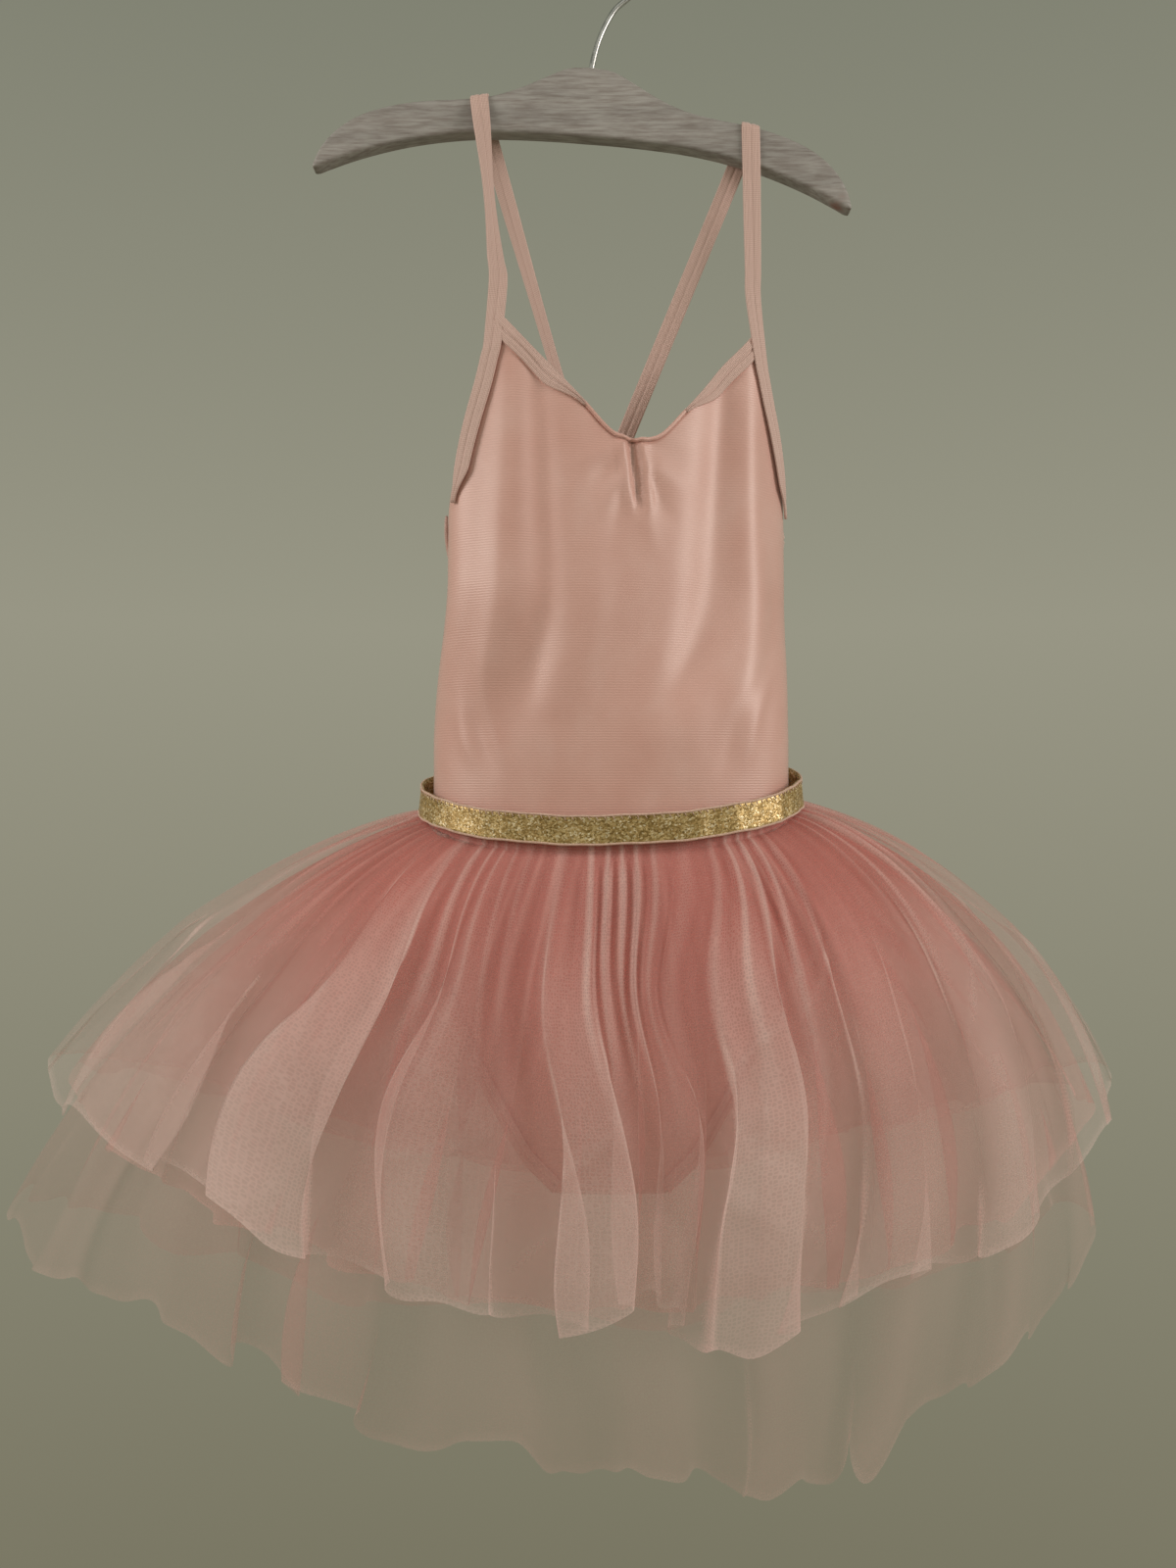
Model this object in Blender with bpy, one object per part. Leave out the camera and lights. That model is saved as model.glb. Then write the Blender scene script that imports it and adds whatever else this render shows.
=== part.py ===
"""A child's dance dress on a small wooden hanger, as cut and sewn.

A stretch leotard with crossed back straps, a glitter elastic at the waist and three gathered
layers of tulle. It hangs from a wire hook, so the origin is the top of the hook's bend.
Metres, +Z up, +X to the viewer's right, and the front of the dress faces -Y.
"""

import math

import bmesh
import bpy
import numpy as np

# Hanger: a 30 cm children's hanger, hung a little askew
HANGER_THICKNESS = 0.012
HANGER_EDGE_ROUND = 0.0022
HANGER_TILT = math.radians(4.5)
HOOK_HEIGHT = 0.078
HOOK_WIRE = 0.0032
HOOK_INNER_RADIUS = 0.019
HOOK_DEPTH_IN_WOOD = 0.011
HOOK_HOLE_DEPTH = 0.012
CROWN_X = -0.008

# Cloth
CLOTH = 0.0012
SEAM_GAP = 0.0003
LAYER_STEP = CLOTH + 0.0004
BINDING_WIDTH = 0.0085
BINDING_THICKNESS = 0.0012
BINDING_EASE = 0.0009
NECK_EASE = 0.0003
EDGE_BINDING_OVER = 0.0012
BACK_BINDING_OVER = 0.14
LEG_BINDING_OVER = 0.1
STRAP_WIDTH = 0.010
STRAP_THICKNESS = 0.0014

# Leotard
PANEL_ROWS = 14
SIDE = math.radians(90)
BODY_CENTRE_X = 0.003
BODICE_SHIFT = 0.005
SHIFT_ENDS_AT = (-0.450, -0.360)
BODICE_TURN = math.radians(14)
TURN_ENDS_AT = (-0.447, -0.365)
TIP_ANGLE = math.radians(52)
WAIST_HALF_WIDTH = 0.0985
WAIST_FRONT = 0.045
WAIST_BACK = 0.035
CROTCH_Z = -0.702
PEAK_Z = -0.2215

# Where the bindings start and end on the front, in degrees, for their edge, middle and inner line
NECK_BINDING_STARTS = (17.0, 17.0, 17.0)
NECK_BINDING_ENDS = (43.8, 42.2, 41.2)
ARMHOLE_BINDING_STARTS = (52.1, 52.1, 52.1)
ARMHOLE_BINDING_ENDS = (89.0, 87.0, 85.0)

# Straps: where each crosses the hanger, how it twists before and behind, how it clears the other
# one where they cross, and where it is sewn to the back
STRAP_SEAT = 0.0003
STRAP_FOOT = 0.0006
STRAP_OVERLAP = 0.0075
STRAP_OVER_X = {-1: -0.068, 1: 0.082}
STRAP_TWIST = {-1: (62, 58), 1: (4, 8)}
STRAP_BOW = {-1: 0.0045, 1: -0.0005}
STRAP_END_ANGLE = {-1: math.radians(9), 1: math.radians(-20)}
STRAP_DRIFT = {-1: 0.022, 1: -0.030}
SMALL_TURN = 0.02
CHEST_HALF_WIDTH = 0.09

# Waistband: a 16 mm elastic whose ring leans down at the front
BAND_HEIGHT = 0.016
BAND_THICKNESS = 0.0014
BAND_TOP_Z = -0.471
BAND_LEVEL = -0.48
BAND_LEAN_Y = 0.42
BAND_LEAN_X = 0.024
BAND_FLARE = 0.0015
BELOW_BAND = 0.0052

# Tulle
FOLDS = 16
COLUMNS_PER_FOLD = 6
COLUMNS = FOLDS * COLUMNS_PER_FOLD
TUCK = 0.009
GATHERS_PER_FOLD = 2
GATHER_HEIGHT = 0.0014
FULL_LENGTH = 0.336
ROWS_BELOW_BAND = (0.0, 0.030, 0.10, 0.22, 0.38, 0.56, 0.77, 1.0)
# How a layer opens out below the band: the power with which its folds drift to their place at
# the hem, the lengths over which it leaves the layer below and its folds rise, and where the
# small gathers fade out
DRIFT_POWER = 0.8
OPENING_LENGTH = 0.14
OPENING_POWER = 0.75
FOLDING_LENGTH = 0.20
FOLDING_POWER = 1.1
GATHERS_FADE = (0.05, 0.12)
GATHER_ROOM_SHARE = 0.4

# Half of the hanger's outline: distance from its middle, top edge and bottom edge
HANGER_HALF = (
    ("x", "top", "bottom"),
    (0.000, 0.0000, -0.0385),
    (0.012, -0.0012, -0.0385),
    (0.024, -0.0068, -0.0387),
    (0.038, -0.0140, -0.0392),
    (0.054, -0.0200, -0.0402),
    (0.072, -0.0232, -0.0424),
    (0.092, -0.0258, -0.0464),
    (0.110, -0.0300, -0.0515),
    (0.126, -0.0365, -0.0572),
    (0.138, -0.0455, -0.0624),
    (0.146, -0.0560, -0.0662),
    (0.150, -0.0672, -0.0690),
)
# Height, half width, depth of the front and of the back of the leotard
BODY_SECTIONS = (
    ("z", "half_width", "front", "back"),
    (-0.215, 0.0945, 0.027, 0.020),
    (-0.270, 0.0950, 0.033, 0.024),
    (-0.329, 0.0960, 0.037, 0.028),
    (-0.394, 0.0965, 0.041, 0.031),
    (-0.435, 0.0980, 0.0445, 0.0345),
    (-0.450, WAIST_HALF_WIDTH, WAIST_FRONT, WAIST_BACK),
    (-0.517, WAIST_HALF_WIDTH, WAIST_FRONT, WAIST_BACK),
    (-0.545, 0.1010, 0.044, 0.0345),
    (-0.580, 0.1030, 0.040, 0.033),
    (-0.632, 0.1030, 0.029, 0.026),
    (-0.672, 0.1030, 0.016, 0.015),
    (-0.692, 0.1030, 0.006, 0.006),
    (CROTCH_Z, 0.1030, 0.00135, 0.00135),
)
# Angle from the middle of a panel, and the height of its edge there
FRONT_TOP_EDGE = (
    ("degrees", "z"),
    (0, -0.2915),
    (7, -0.2890),
    (17, -0.2735),
    (34, -0.2455),
    (52, PEAK_Z),
    (59, -0.2560),
    (70, -0.2860),
    (80, -0.3120),
    (90, -0.3290),
)
BACK_TOP_EDGE = (
    ("degrees", "z"),
    (0, -0.384),
    (22, -0.381),
    (45, -0.371),
    (68, -0.353),
    (90, -0.3290),
)
LEG_EDGE = (
    ("degrees", "z"),
    (0, CROTCH_Z),
    (17.5, CROTCH_Z + 0.001),
    (27.5, -0.682),
    (46, -0.628),
    (62, -0.582),
    (90, -0.568),
)
# Soft drag folds of the bodice front: where each starts and ends across the body, how far it
# stands in or out, and its half width
DRAG_FOLDS = (
    ("x_top", "x_bottom", "rise", "half_width"),
    (-0.062, -0.076, 0.0028, 0.012),
    (-0.055, -0.045, -0.0026, 0.009),
    (-0.042, -0.018, 0.0018, 0.012),
    (0.058, 0.030, -0.0042, 0.013),
    (0.066, 0.066, 0.0030, 0.012),
)
# One row for each fold of a layer, counted round from the back: where its crest comes at the
# hem in degrees from the front, the share of its pitch that its bulge and its neck take,
# its rise as a share of the room, and its length down from the waist
TOP_FOLDS = (
    ("hem_degrees", "bulge", "neck", "rise", "length"),
    (-172, 0.34, 0.26, 0.70, 0.238),
    (-147, 0.36, 0.24, 0.85, 0.246),
    (-119, 0.33, 0.26, 0.75, 0.240),
    (-90, 0.34, 0.28, 0.60, 0.252),
    (-61, 0.36, 0.24, 0.85, 0.249),
    (-36, 0.37, 0.20, 1.00, 0.244),
    (-17, 0.36, 0.20, 0.80, 0.233),
    (-1, 0.38, 0.19, 0.95, 0.229),
    (8, 0.30, 0.24, 0.45, 0.224),
    (15.5, 0.38, 0.20, 1.00, 0.241),
    (28, 0.36, 0.20, 0.75, 0.234),
    (44, 0.36, 0.20, 0.90, 0.239),
    (67, 0.36, 0.26, 0.80, 0.236),
    (96, 0.34, 0.28, 0.65, 0.228),
    (124, 0.35, 0.25, 0.80, 0.240),
    (153, 0.36, 0.24, 0.85, 0.236),
)
MIDDLE_FOLDS = (
    ("hem_degrees", "bulge", "neck", "rise", "length"),
    (-166, 0.35, 0.25, 0.80, 0.242),
    (-141, 0.34, 0.26, 0.70, 0.236),
    (-113, 0.36, 0.24, 0.85, 0.244),
    (-84, 0.34, 0.27, 0.70, 0.249),
    (-56, 0.36, 0.24, 0.90, 0.244),
    (-39, 0.34, 0.24, 0.70, 0.238),
    (-24, 0.37, 0.20, 1.00, 0.231),
    (-9, 0.35, 0.22, 0.80, 0.229),
    (4, 0.37, 0.20, 0.95, 0.233),
    (20, 0.36, 0.22, 0.85, 0.230),
    (35, 0.37, 0.20, 1.00, 0.240),
    (52, 0.35, 0.24, 0.80, 0.238),
    (75, 0.36, 0.26, 0.85, 0.234),
    (104, 0.34, 0.27, 0.70, 0.238),
    (131, 0.36, 0.24, 0.85, 0.232),
    (160, 0.35, 0.25, 0.75, 0.240),
)
UNDER_FOLDS = (
    ("hem_degrees", "bulge", "neck", "rise", "length"),
    (-170, 0.36, 0.24, 0.85, 0.322),
    (-145, 0.35, 0.26, 0.75, 0.330),
    (-117, 0.36, 0.24, 0.85, 0.326),
    (-88, 0.35, 0.26, 0.75, 0.335),
    (-62, 0.36, 0.24, 0.90, 0.318),
    (-42, 0.36, 0.24, 0.80, 0.300),
    (-27, 0.37, 0.20, 1.00, 0.309),
    (-11, 0.36, 0.22, 0.80, 0.302),
    (2, 0.36, 0.22, 0.85, 0.314),
    (14, 0.38, 0.20, 1.00, 0.327),
    (29, 0.37, 0.20, 0.95, 0.326),
    (47, 0.36, 0.24, 0.85, 0.316),
    (70, 0.36, 0.25, 0.80, 0.298),
    (99, 0.35, 0.26, 0.80, 0.300),
    (127, 0.36, 0.24, 0.85, 0.318),
    (156, 0.35, 0.25, 0.80, 0.326),
)
# Room for a layer's folds and its distance off the layer under it: front, side and back
LAYER_ROOM = {
    "tulle_under": (0.013, 0.0060, 0.0046),
    "tulle_middle": (0.014, 0.0065, 0.0046),
    "tulle_top": (0.026, 0.0110, 0.0060),
}
LAYER_RAISE = {
    "tulle_under": (0.0, 0.0, 0.0),
    "tulle_middle": (0.0185, 0.0100, 0.0080),
    "tulle_top": (0.0385, 0.0205, 0.0160),
}
# Slope of the skirt from the vertical, in degrees, at the waist and at the full length
SIDE_SLOPE_LEFT = (66, 26)
SIDE_SLOPE_RIGHT = (66, -2)
FRONT_SLOPE = (13, 1)
BACK_SLOPE = (6, 0)


def column(table, name):
    """The values under one heading of a table."""
    place = table[0].index(name)
    return np.array([row[place] for row in table[1:]], float)


def smooth_step(low, high, value):
    share = np.clip((value - low) / (high - low), 0.0, 1.0)
    return share * share * (3.0 - 2.0 * share)


def body_section(z):
    """Half width, front depth and back depth of the leotard at a height."""
    heights = column(BODY_SECTIONS, "z")[::-1]
    return tuple(
        np.interp(z, heights, column(BODY_SECTIONS, name)[::-1])
        for name in ("half_width", "front", "back")
    )


def body_point(angle, z, outward=0.0):
    """A point on the leotard's outer face. The angle runs from the front, positive to the right."""
    half_width, front, back = body_section(z)
    depth = np.where(np.cos(angle) >= 0, front, back)
    x = half_width * np.sin(angle)
    y = -depth * np.cos(angle)
    normal_x = np.sin(angle) / half_width
    normal_y = -np.cos(angle) / np.maximum(depth, 0.004)
    length = np.hypot(normal_x, normal_y)
    x = x + outward * normal_x / length
    y = y + outward * normal_y / length
    turn = BODICE_TURN * smooth_step(*TURN_ENDS_AT, z)
    middle = BODY_CENTRE_X + BODICE_SHIFT * smooth_step(*SHIFT_ENDS_AT, z)
    return np.stack(
        [
            middle + x * np.cos(turn) - y * np.sin(turn),
            x * np.sin(turn) + y * np.cos(turn),
            z + 0.0 * x,
        ],
        axis=-1,
    )


def drag_folds(angle, z):
    """How far the bodice front stands out of its plain section."""
    across = body_section(z)[0] * np.sin(angle)
    fall = np.clip((z - PEAK_Z) / (BAND_TOP_Z - PEAK_Z), 0.0, 1.0)
    rise = 0.0 * across
    rows = zip(*(column(DRAG_FOLDS, name) for name in DRAG_FOLDS[0]))
    for x_top, x_bottom, height, half_width in rows:
        middle = x_top + (x_bottom - x_top) * fall
        rise = rise + height * np.exp(-(((across - middle) / half_width) ** 2))
    clear_of_seam = 1.0 - smooth_step(0.66, 0.97, np.abs(np.sin(angle)))
    return rise * clear_of_seam * smooth_step(-0.452, -0.405, z)


def panel_point(angle, z, outward=0.0, front=True):
    """A point on a panel's outer face, with the front's drag folds in it."""
    if front:
        return body_point(angle, z, outward + drag_folds(angle, z))
    return body_point(math.pi - angle, z, outward)


def edge_height(table, angle):
    degrees = np.abs(np.degrees(angle))
    return np.interp(degrees, column(table, "degrees"), column(table, "z"))


def waist_plane(x, y):
    """Height of the top of the waistband."""
    return BAND_TOP_Z + BAND_LEAN_X * (x - BODY_CENTRE_X) + BAND_LEAN_Y * y


def outward_normals(points, closed):
    """Unit normals of a grid of points, rows down and columns round, pointing away from the body."""
    if closed:
        round_it = np.roll(points, -1, axis=1) - np.roll(points, 1, axis=1)
    else:
        round_it = np.gradient(points, axis=1)
    down = np.gradient(points, axis=0)
    normal = np.cross(down, round_it)
    return normal / np.linalg.norm(normal, axis=2, keepdims=True)


def new_object(name, points, faces, material):
    mesh = bpy.data.meshes.new(name)
    mesh.from_pydata([tuple(p) for p in points], [], faces)
    shape = bmesh.new()
    shape.from_mesh(mesh)
    bmesh.ops.recalc_face_normals(shape, faces=shape.faces)
    shape.to_mesh(mesh)
    shape.free()
    mesh.shade_smooth()
    mesh.set_sharp_from_angle(angle=math.radians(40))
    mesh.materials.append(material)
    thing = bpy.data.objects.new(name, mesh)
    bpy.context.scene.collection.objects.link(thing)
    return thing


def wall(name, outer, inner, closed, material):
    """One closed wall between two grids of points. Both faces share their diagonals."""
    rows, columns = outer.shape[:2]
    count = rows * columns
    middle = (outer + inner) / 2

    def at(row, place, side):
        return side * count + row * columns + place % columns

    faces = []
    for row in range(rows - 1):
        for place in range(columns if closed else columns - 1):
            ahead = (place + 1) % columns
            first = np.linalg.norm(middle[row, place] - middle[row + 1, ahead])
            second = np.linalg.norm(middle[row, ahead] - middle[row + 1, place])
            corners = [(row, place), (row + 1, place), (row + 1, ahead), (row, ahead)]
            if second < first:
                corners = corners[1:] + corners[:1]
            a, b, c, d = corners
            for side, order in ((0, 1), (1, -1)):
                faces += [
                    [at(*p, side) for p in (a, b, c)][::order],
                    [at(*p, side) for p in (a, c, d)][::order],
                ]
    edges = [[(row, place) for place in range(columns)] for row in (0, rows - 1)]
    if closed:
        edges = [edge + edge[:1] for edge in edges]
    else:
        edges += [[(row, place) for row in range(rows)] for place in (0, columns - 1)]
    for edge in edges:
        for p, q in zip(edge, edge[1:]):
            faces.append([at(*p, 0), at(*q, 0), at(*q, 1)])
            faces.append([at(*p, 0), at(*q, 1), at(*p, 1)])
    points = np.concatenate([outer.reshape(-1, 3), inner.reshape(-1, 3)])
    return new_object(name, points, faces, material)


def finish(name, hex_colour, roughness, metallic=0.0):
    """A material from an sRGB colour."""
    material = bpy.data.materials.new(name)
    material.use_nodes = True
    shader = material.node_tree.nodes["Principled BSDF"]
    parts = [int(hex_colour[i : i + 2], 16) / 255 for i in (0, 2, 4)]
    linear = [c / 12.92 if c <= 0.04045 else ((c + 0.055) / 1.055) ** 2.4 for c in parts]
    shader.inputs["Base Color"].default_value = (*linear, 1.0)
    shader.inputs["Roughness"].default_value = roughness
    shader.inputs["Metallic"].default_value = metallic
    material.diffuse_color = (*linear, 1.0)
    return material


def panel_angles(count):
    """Angles across a panel, from one side seam to the other, evenly spaced along the cloth."""
    fine = np.linspace(-SIDE, SIDE, 721)
    step = np.hypot(WAIST_HALF_WIDTH * np.cos(fine), 0.6 * WAIST_FRONT * np.sin(fine))
    run = np.concatenate([[0], np.cumsum((step[1:] + step[:-1]) / 2)])
    angles = np.interp(np.linspace(0, run[-1], count), run, fine)
    tips = [int(np.argmin(abs(angles - side * TIP_ANGLE))) for side in (-1, 1)]
    angles[tips] = [-TIP_ANGLE, TIP_ANGLE]
    seam = SEAM_GAP / 2 / WAIST_FRONT
    return np.clip(angles, -SIDE + seam, SIDE - seam)


def leotard_panel(name, columns, top_edge, front, material):
    """Front or back of the leotard, from the top edge to the leg openings and the crotch."""
    angles = panel_angles(columns)
    shares = np.linspace(0, 1, PANEL_ROWS)[:, None]
    top = edge_height(top_edge, angles)[None, :]
    bottom = edge_height(LEG_EDGE, angles)[None, :]
    heights = top + (bottom - top) * shares
    around = np.broadcast_to(angles[None, :], heights.shape)
    outer = panel_point(around, heights, 0.0, front)
    inner = panel_point(around, heights, -CLOTH, front)
    return wall(name, outer, inner, False, material)


def ribbon_on_panel(name, places, ease, material):
    """A flat strip on a panel. places are rows of (angle, z) across the strip, with the panel."""
    rows = []
    lift = SEAM_GAP + ease
    for angle, z, front in places:
        low = panel_point(np.array(angle), np.array(z), lift, front)
        high = panel_point(np.array(angle), np.array(z), lift + BINDING_THICKNESS, front)
        rows.append((low, high))
    inner = np.array([low for low, _ in rows])
    outer = np.array([high for _, high in rows])
    return wall(name, outer, inner, False, material)


def edge_strip(starts, ends, count, side):
    """Places of a strip along the front's top edge. Each of its three lines has its own ends."""
    places = []
    for share, start, end in zip((-EDGE_BINDING_OVER / BINDING_WIDTH, 0.5, 1.0), starts, ends):
        degrees = np.linspace(start, end, count)
        heights = edge_height(FRONT_TOP_EDGE, np.radians(degrees))
        across = body_section(heights)[0] * np.sin(np.radians(degrees))
        step_x, step_z = np.gradient(across), np.gradient(heights)
        length = np.hypot(step_x, step_z)
        moved_x = across + step_z / length * BINDING_WIDTH * share
        moved_z = heights - step_x / length * BINDING_WIDTH * share
        limit = math.sin(SIDE - 0.012)
        moved = np.arcsin(np.clip(moved_x / body_section(moved_z)[0], -limit, limit))
        places.append((side * moved, moved_z, True))
    return places


def neck_binding(name, side, material):
    """Fold-over elastic from the side of the gathered V up to the armhole binding."""
    places = edge_strip(NECK_BINDING_STARTS, NECK_BINDING_ENDS, 9, side)
    return ribbon_on_panel(name, places, NECK_EASE, material)


def armhole_binding(name, side, material):
    """Fold-over elastic from the peak down the armhole to the side seam."""
    places = edge_strip(ARMHOLE_BINDING_STARTS, ARMHOLE_BINDING_ENDS, 15, side)
    return ribbon_on_panel(name, places, BINDING_EASE, material)


def back_binding(material):
    """Fold-over elastic along the top edge of the back."""
    angles = np.linspace(-SIDE + 0.02, SIDE - 0.02, 19)
    top = edge_height(BACK_TOP_EDGE, angles)
    places = [(angles, top - BINDING_WIDTH * share, False) for share in (-BACK_BINDING_OVER, 0.5, 1.0)]
    return ribbon_on_panel("binding_back", places, NECK_EASE, material)


def leg_binding(name, side, material):
    """Elastic round one leg opening: up the front edge, over the hip and down the back edge."""
    degrees = np.array([18, 23, 29, 37, 46, 54, 62, 71, 79, 85])
    degrees = np.concatenate([degrees, [90], 180 - degrees[::-1]])
    angles = side * np.radians(degrees)
    own = np.minimum(degrees, 180 - degrees)
    edge = np.interp(own, column(LEG_EDGE, "degrees"), column(LEG_EDGE, "z"))
    half_width = body_section(edge)[0]
    rows = []
    for share in (-LEG_BINDING_OVER, 0.5, 1.0):
        steep = np.interp(own, [18, 40, 62, 90], [0.45, 0.75, 0.55, 0.0])
        moved_z = edge + BINDING_WIDTH * share * np.sqrt(1 - steep**2)
        inward = np.radians(own) - steep * BINDING_WIDTH * share / half_width
        inward = np.where(degrees > 90, math.pi - inward, inward)
        rows.append((side * inward, moved_z))
    lift = SEAM_GAP + BINDING_EASE
    inner = np.array([body_point(a, z, lift) for a, z in rows])
    outer = np.array([body_point(a, z, lift + BINDING_THICKNESS) for a, z in rows])
    return wall(name, outer, inner, False, material)


def ring_angles():
    """Column angles round the waist, from the middle of the back."""
    return -math.pi + 2 * math.pi * (np.arange(COLUMNS) + 0.5) / COLUMNS


def waist_ring(angles, outward):
    """Points of the leotard's waist, moved out."""
    return body_point(angles, np.full_like(angles, BAND_LEVEL), outward)[..., :2]


def waistband(material):
    """Glitter elastic over the tops of the tulle layers."""
    angles = ring_angles()[::2]
    off = SEAM_GAP + 3 * LAYER_STEP + SEAM_GAP
    inner, outer = [], []
    for share in (0.0, 0.5, 1.0):
        flare = BAND_FLARE * share
        for rows, thick in ((inner, 0.0), (outer, BAND_THICKNESS)):
            place = waist_ring(angles, off + flare + thick)
            level = waist_plane(*waist_ring(angles, 0.0).T) - BAND_HEIGHT * share
            rows.append(np.column_stack([place, level]))
    return wall("waistband", np.array(outer), np.array(inner), True, material)


def by_azimuth(values, angle):
    """Blends a front, a side and a back value round the skirt."""
    front, side, back = values
    ahead = np.cos(angle) ** 2
    ends = np.where(np.cos(angle) >= 0, front, back)
    return ends * ahead + side * (1 - ahead)


def reach_and_drop(slope, length):
    """How far out and down a skirt of that slope has come after a length of cloth."""
    start, end = np.radians(slope[0]), np.radians(slope[1])
    rate = (end - start) / FULL_LENGTH
    lean = start + rate * length
    out = (math.cos(start) - np.cos(lean)) / rate
    down = (np.sin(lean) - math.sin(start)) / rate
    return out, down


def skirt_base(angle, length):
    """The surface that the layers are raised from: its point at an angle and a length of cloth."""
    below = np.maximum(length - TUCK, 0.0)
    left_out, left_down = reach_and_drop(SIDE_SLOPE_LEFT, below)
    right_out, right_down = reach_and_drop(SIDE_SLOPE_RIGHT, below)
    front_out, front_down = reach_and_drop(FRONT_SLOPE, below)
    back_out, back_down = reach_and_drop(BACK_SLOPE, below)
    to_right = np.sin(angle) > 0
    side_out = np.where(to_right, right_out, left_out)
    side_down = np.where(to_right, right_down, left_down)
    end_out = np.where(np.cos(angle) >= 0, front_out, back_out)
    ahead = np.cos(angle) ** 2
    end_down = np.where(np.cos(angle) >= 0, front_down, back_down)
    down = end_down * ahead + side_down * (1 - ahead)
    waist = waist_ring(angle, 0.0)
    level = waist_plane(waist[..., 0], waist[..., 1]) - BAND_HEIGHT + TUCK - BELOW_BAND
    x = waist[..., 0] + side_out * np.sin(angle)
    y = waist[..., 1] - end_out * np.cos(angle)
    z = level - np.minimum(length, TUCK) - down
    return np.stack([x, y, z], axis=-1)


def base_normal(angle, length):
    """Unit normal of the skirt's base, pointing away from the body."""
    turn, step = 1e-3, 5e-4
    round_it = skirt_base(angle + turn, length) - skirt_base(angle - turn, length)
    down = skirt_base(angle, length + step) - skirt_base(angle, np.maximum(length - step, 0))
    normal = np.cross(down, round_it)
    return normal / np.linalg.norm(normal, axis=-1, keepdims=True)


def raise_direction(angle, length):
    """The way layers are stacked on the base, lengthened where it bends so that they stay apart."""
    normal = base_normal(angle, length)
    below = base_normal(angle, length + 0.001)
    return normal / (normal * below).sum(axis=-1, keepdims=True)


def hem_knots(table):
    """Hem angle, rise and length of each column of a layer."""
    crests = np.radians(column(table, "hem_degrees"))
    before = (crests - np.roll(crests, 1)) % (2 * math.pi)
    after = (np.roll(crests, -1) - crests) % (2 * math.pi)
    bulge, neck = column(table, "bulge"), column(table, "neck")
    rise, length = column(table, "rise"), column(table, "length")
    angles, rises, lengths = [], [], []
    for fold in range(FOLDS):
        behind, ahead = before[fold], after[fold]
        steps = (
            (-0.5 * behind, 0.0),
            (-neck[fold] * behind, 0.40),
            (-bulge[fold] * behind, 0.84),
            (0.0, 1.0),
            (bulge[fold] * ahead, 0.84),
            (neck[fold] * ahead, 0.40),
        )
        for offset, height in steps:
            angles.append(crests[fold] + offset)
            rises.append(height * rise[fold])
            mix = 0.5 - abs(offset) / (behind if offset < 0 else ahead)
            other = length[(fold + (1 if offset > 0 else -1)) % FOLDS]
            lengths.append(other + (length[fold] - other) * (0.5 + mix))
    return np.array(angles), np.array(rises), np.array(lengths)


def tulle_layer(name, table, order, material):
    """One gathered layer, from its tucked top edge to its hem."""
    waist_angles = ring_angles()
    hem_angles, rises, lengths = hem_knots(table)
    hem_angles = hem_angles - 2 * math.pi * np.round((hem_angles - waist_angles) / (2 * math.pi))
    runs = [0.0 * lengths] + [TUCK + share * (lengths - TUCK) for share in ROWS_BELOW_BAND]
    gather = np.where(np.arange(COLUMNS) % (COLUMNS_PER_FOLD // GATHERS_PER_FOLD) == 1, 1.0, 0.0)
    points = []
    for run in runs:
        spread = np.clip((run - TUCK) / (lengths - TUCK), 0, 1) ** DRIFT_POWER
        angle = waist_angles + (hem_angles - waist_angles) * spread
        opening = np.clip((run - TUCK) / OPENING_LENGTH, 0, 1) ** OPENING_POWER
        folding = np.clip((run - TUCK) / FOLDING_LENGTH, 0, 1) ** FOLDING_POWER
        raise_up = by_azimuth(LAYER_RAISE[name], angle) * opening
        room = by_azimuth(LAYER_ROOM[name], angle) * folding
        next_room = by_azimuth(LAYER_RAISE["tulle_middle"], angle) * opening
        small = np.minimum(GATHER_HEIGHT, GATHER_ROOM_SHARE * next_room)
        small = small * (1 - smooth_step(*GATHERS_FADE, run))
        offset = SEAM_GAP + CLOTH / 2 + order * LAYER_STEP + raise_up + room * rises
        offset = offset + small * gather
        place = skirt_base(angle, run)
        points.append(place + raise_direction(angle, run) * offset[:, None])
    middle = np.array(points)
    normal = outward_normals(middle, True)
    half = normal * CLOTH / 2
    return wall(name, middle + half, middle - half, True, material)


def smooth_line(knots, count):
    """Evenly spread points on a smooth curve through knots."""
    knots = np.array(knots, float)
    padded = np.vstack([2 * knots[0] - knots[1], knots, 2 * knots[-1] - knots[-2]])
    fine = []
    for i in range(1, len(padded) - 2):
        a, b, c, d = padded[i - 1 : i + 3]
        for t in np.linspace(0, 1, 24, endpoint=False):
            fine.append(
                0.5
                * (
                    2 * b
                    + (c - a) * t
                    + (2 * a - 5 * b + 4 * c - d) * t * t
                    + (3 * b - a - 3 * c + d) * t**3
                )
            )
    fine = np.array(fine + [knots[-1]])
    run = np.concatenate([[0], np.cumsum(np.linalg.norm(np.diff(fine, axis=0), axis=1))])
    even = np.linspace(0, run[-1], count)
    return np.stack([np.interp(even, run, fine[:, i]) for i in range(fine.shape[1])], axis=1)


def hanger_outline():
    """The hanger's outline in its own frame, with the middle of its crown at the origin."""
    top = smooth_line(np.column_stack([column(HANGER_HALF, n) for n in ("x", "top")]), 17)
    low = smooth_line(np.column_stack([column(HANGER_HALF, n) for n in ("x", "bottom")]), 13)
    right = np.vstack([top, low[::-1][1:]])
    left = right[1:-1][::-1] * [-1, 1]
    return np.vstack([right, left])


def hanger_to_row(x, y, z):
    """Turns a point of the hanger's own frame by its tilt about the foot of the hook."""
    cos, sin = math.cos(HANGER_TILT), math.sin(HANGER_TILT)
    return np.array([CROWN_X + x * cos + z * sin, y, -HOOK_HEIGHT - x * sin + z * cos])


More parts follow.
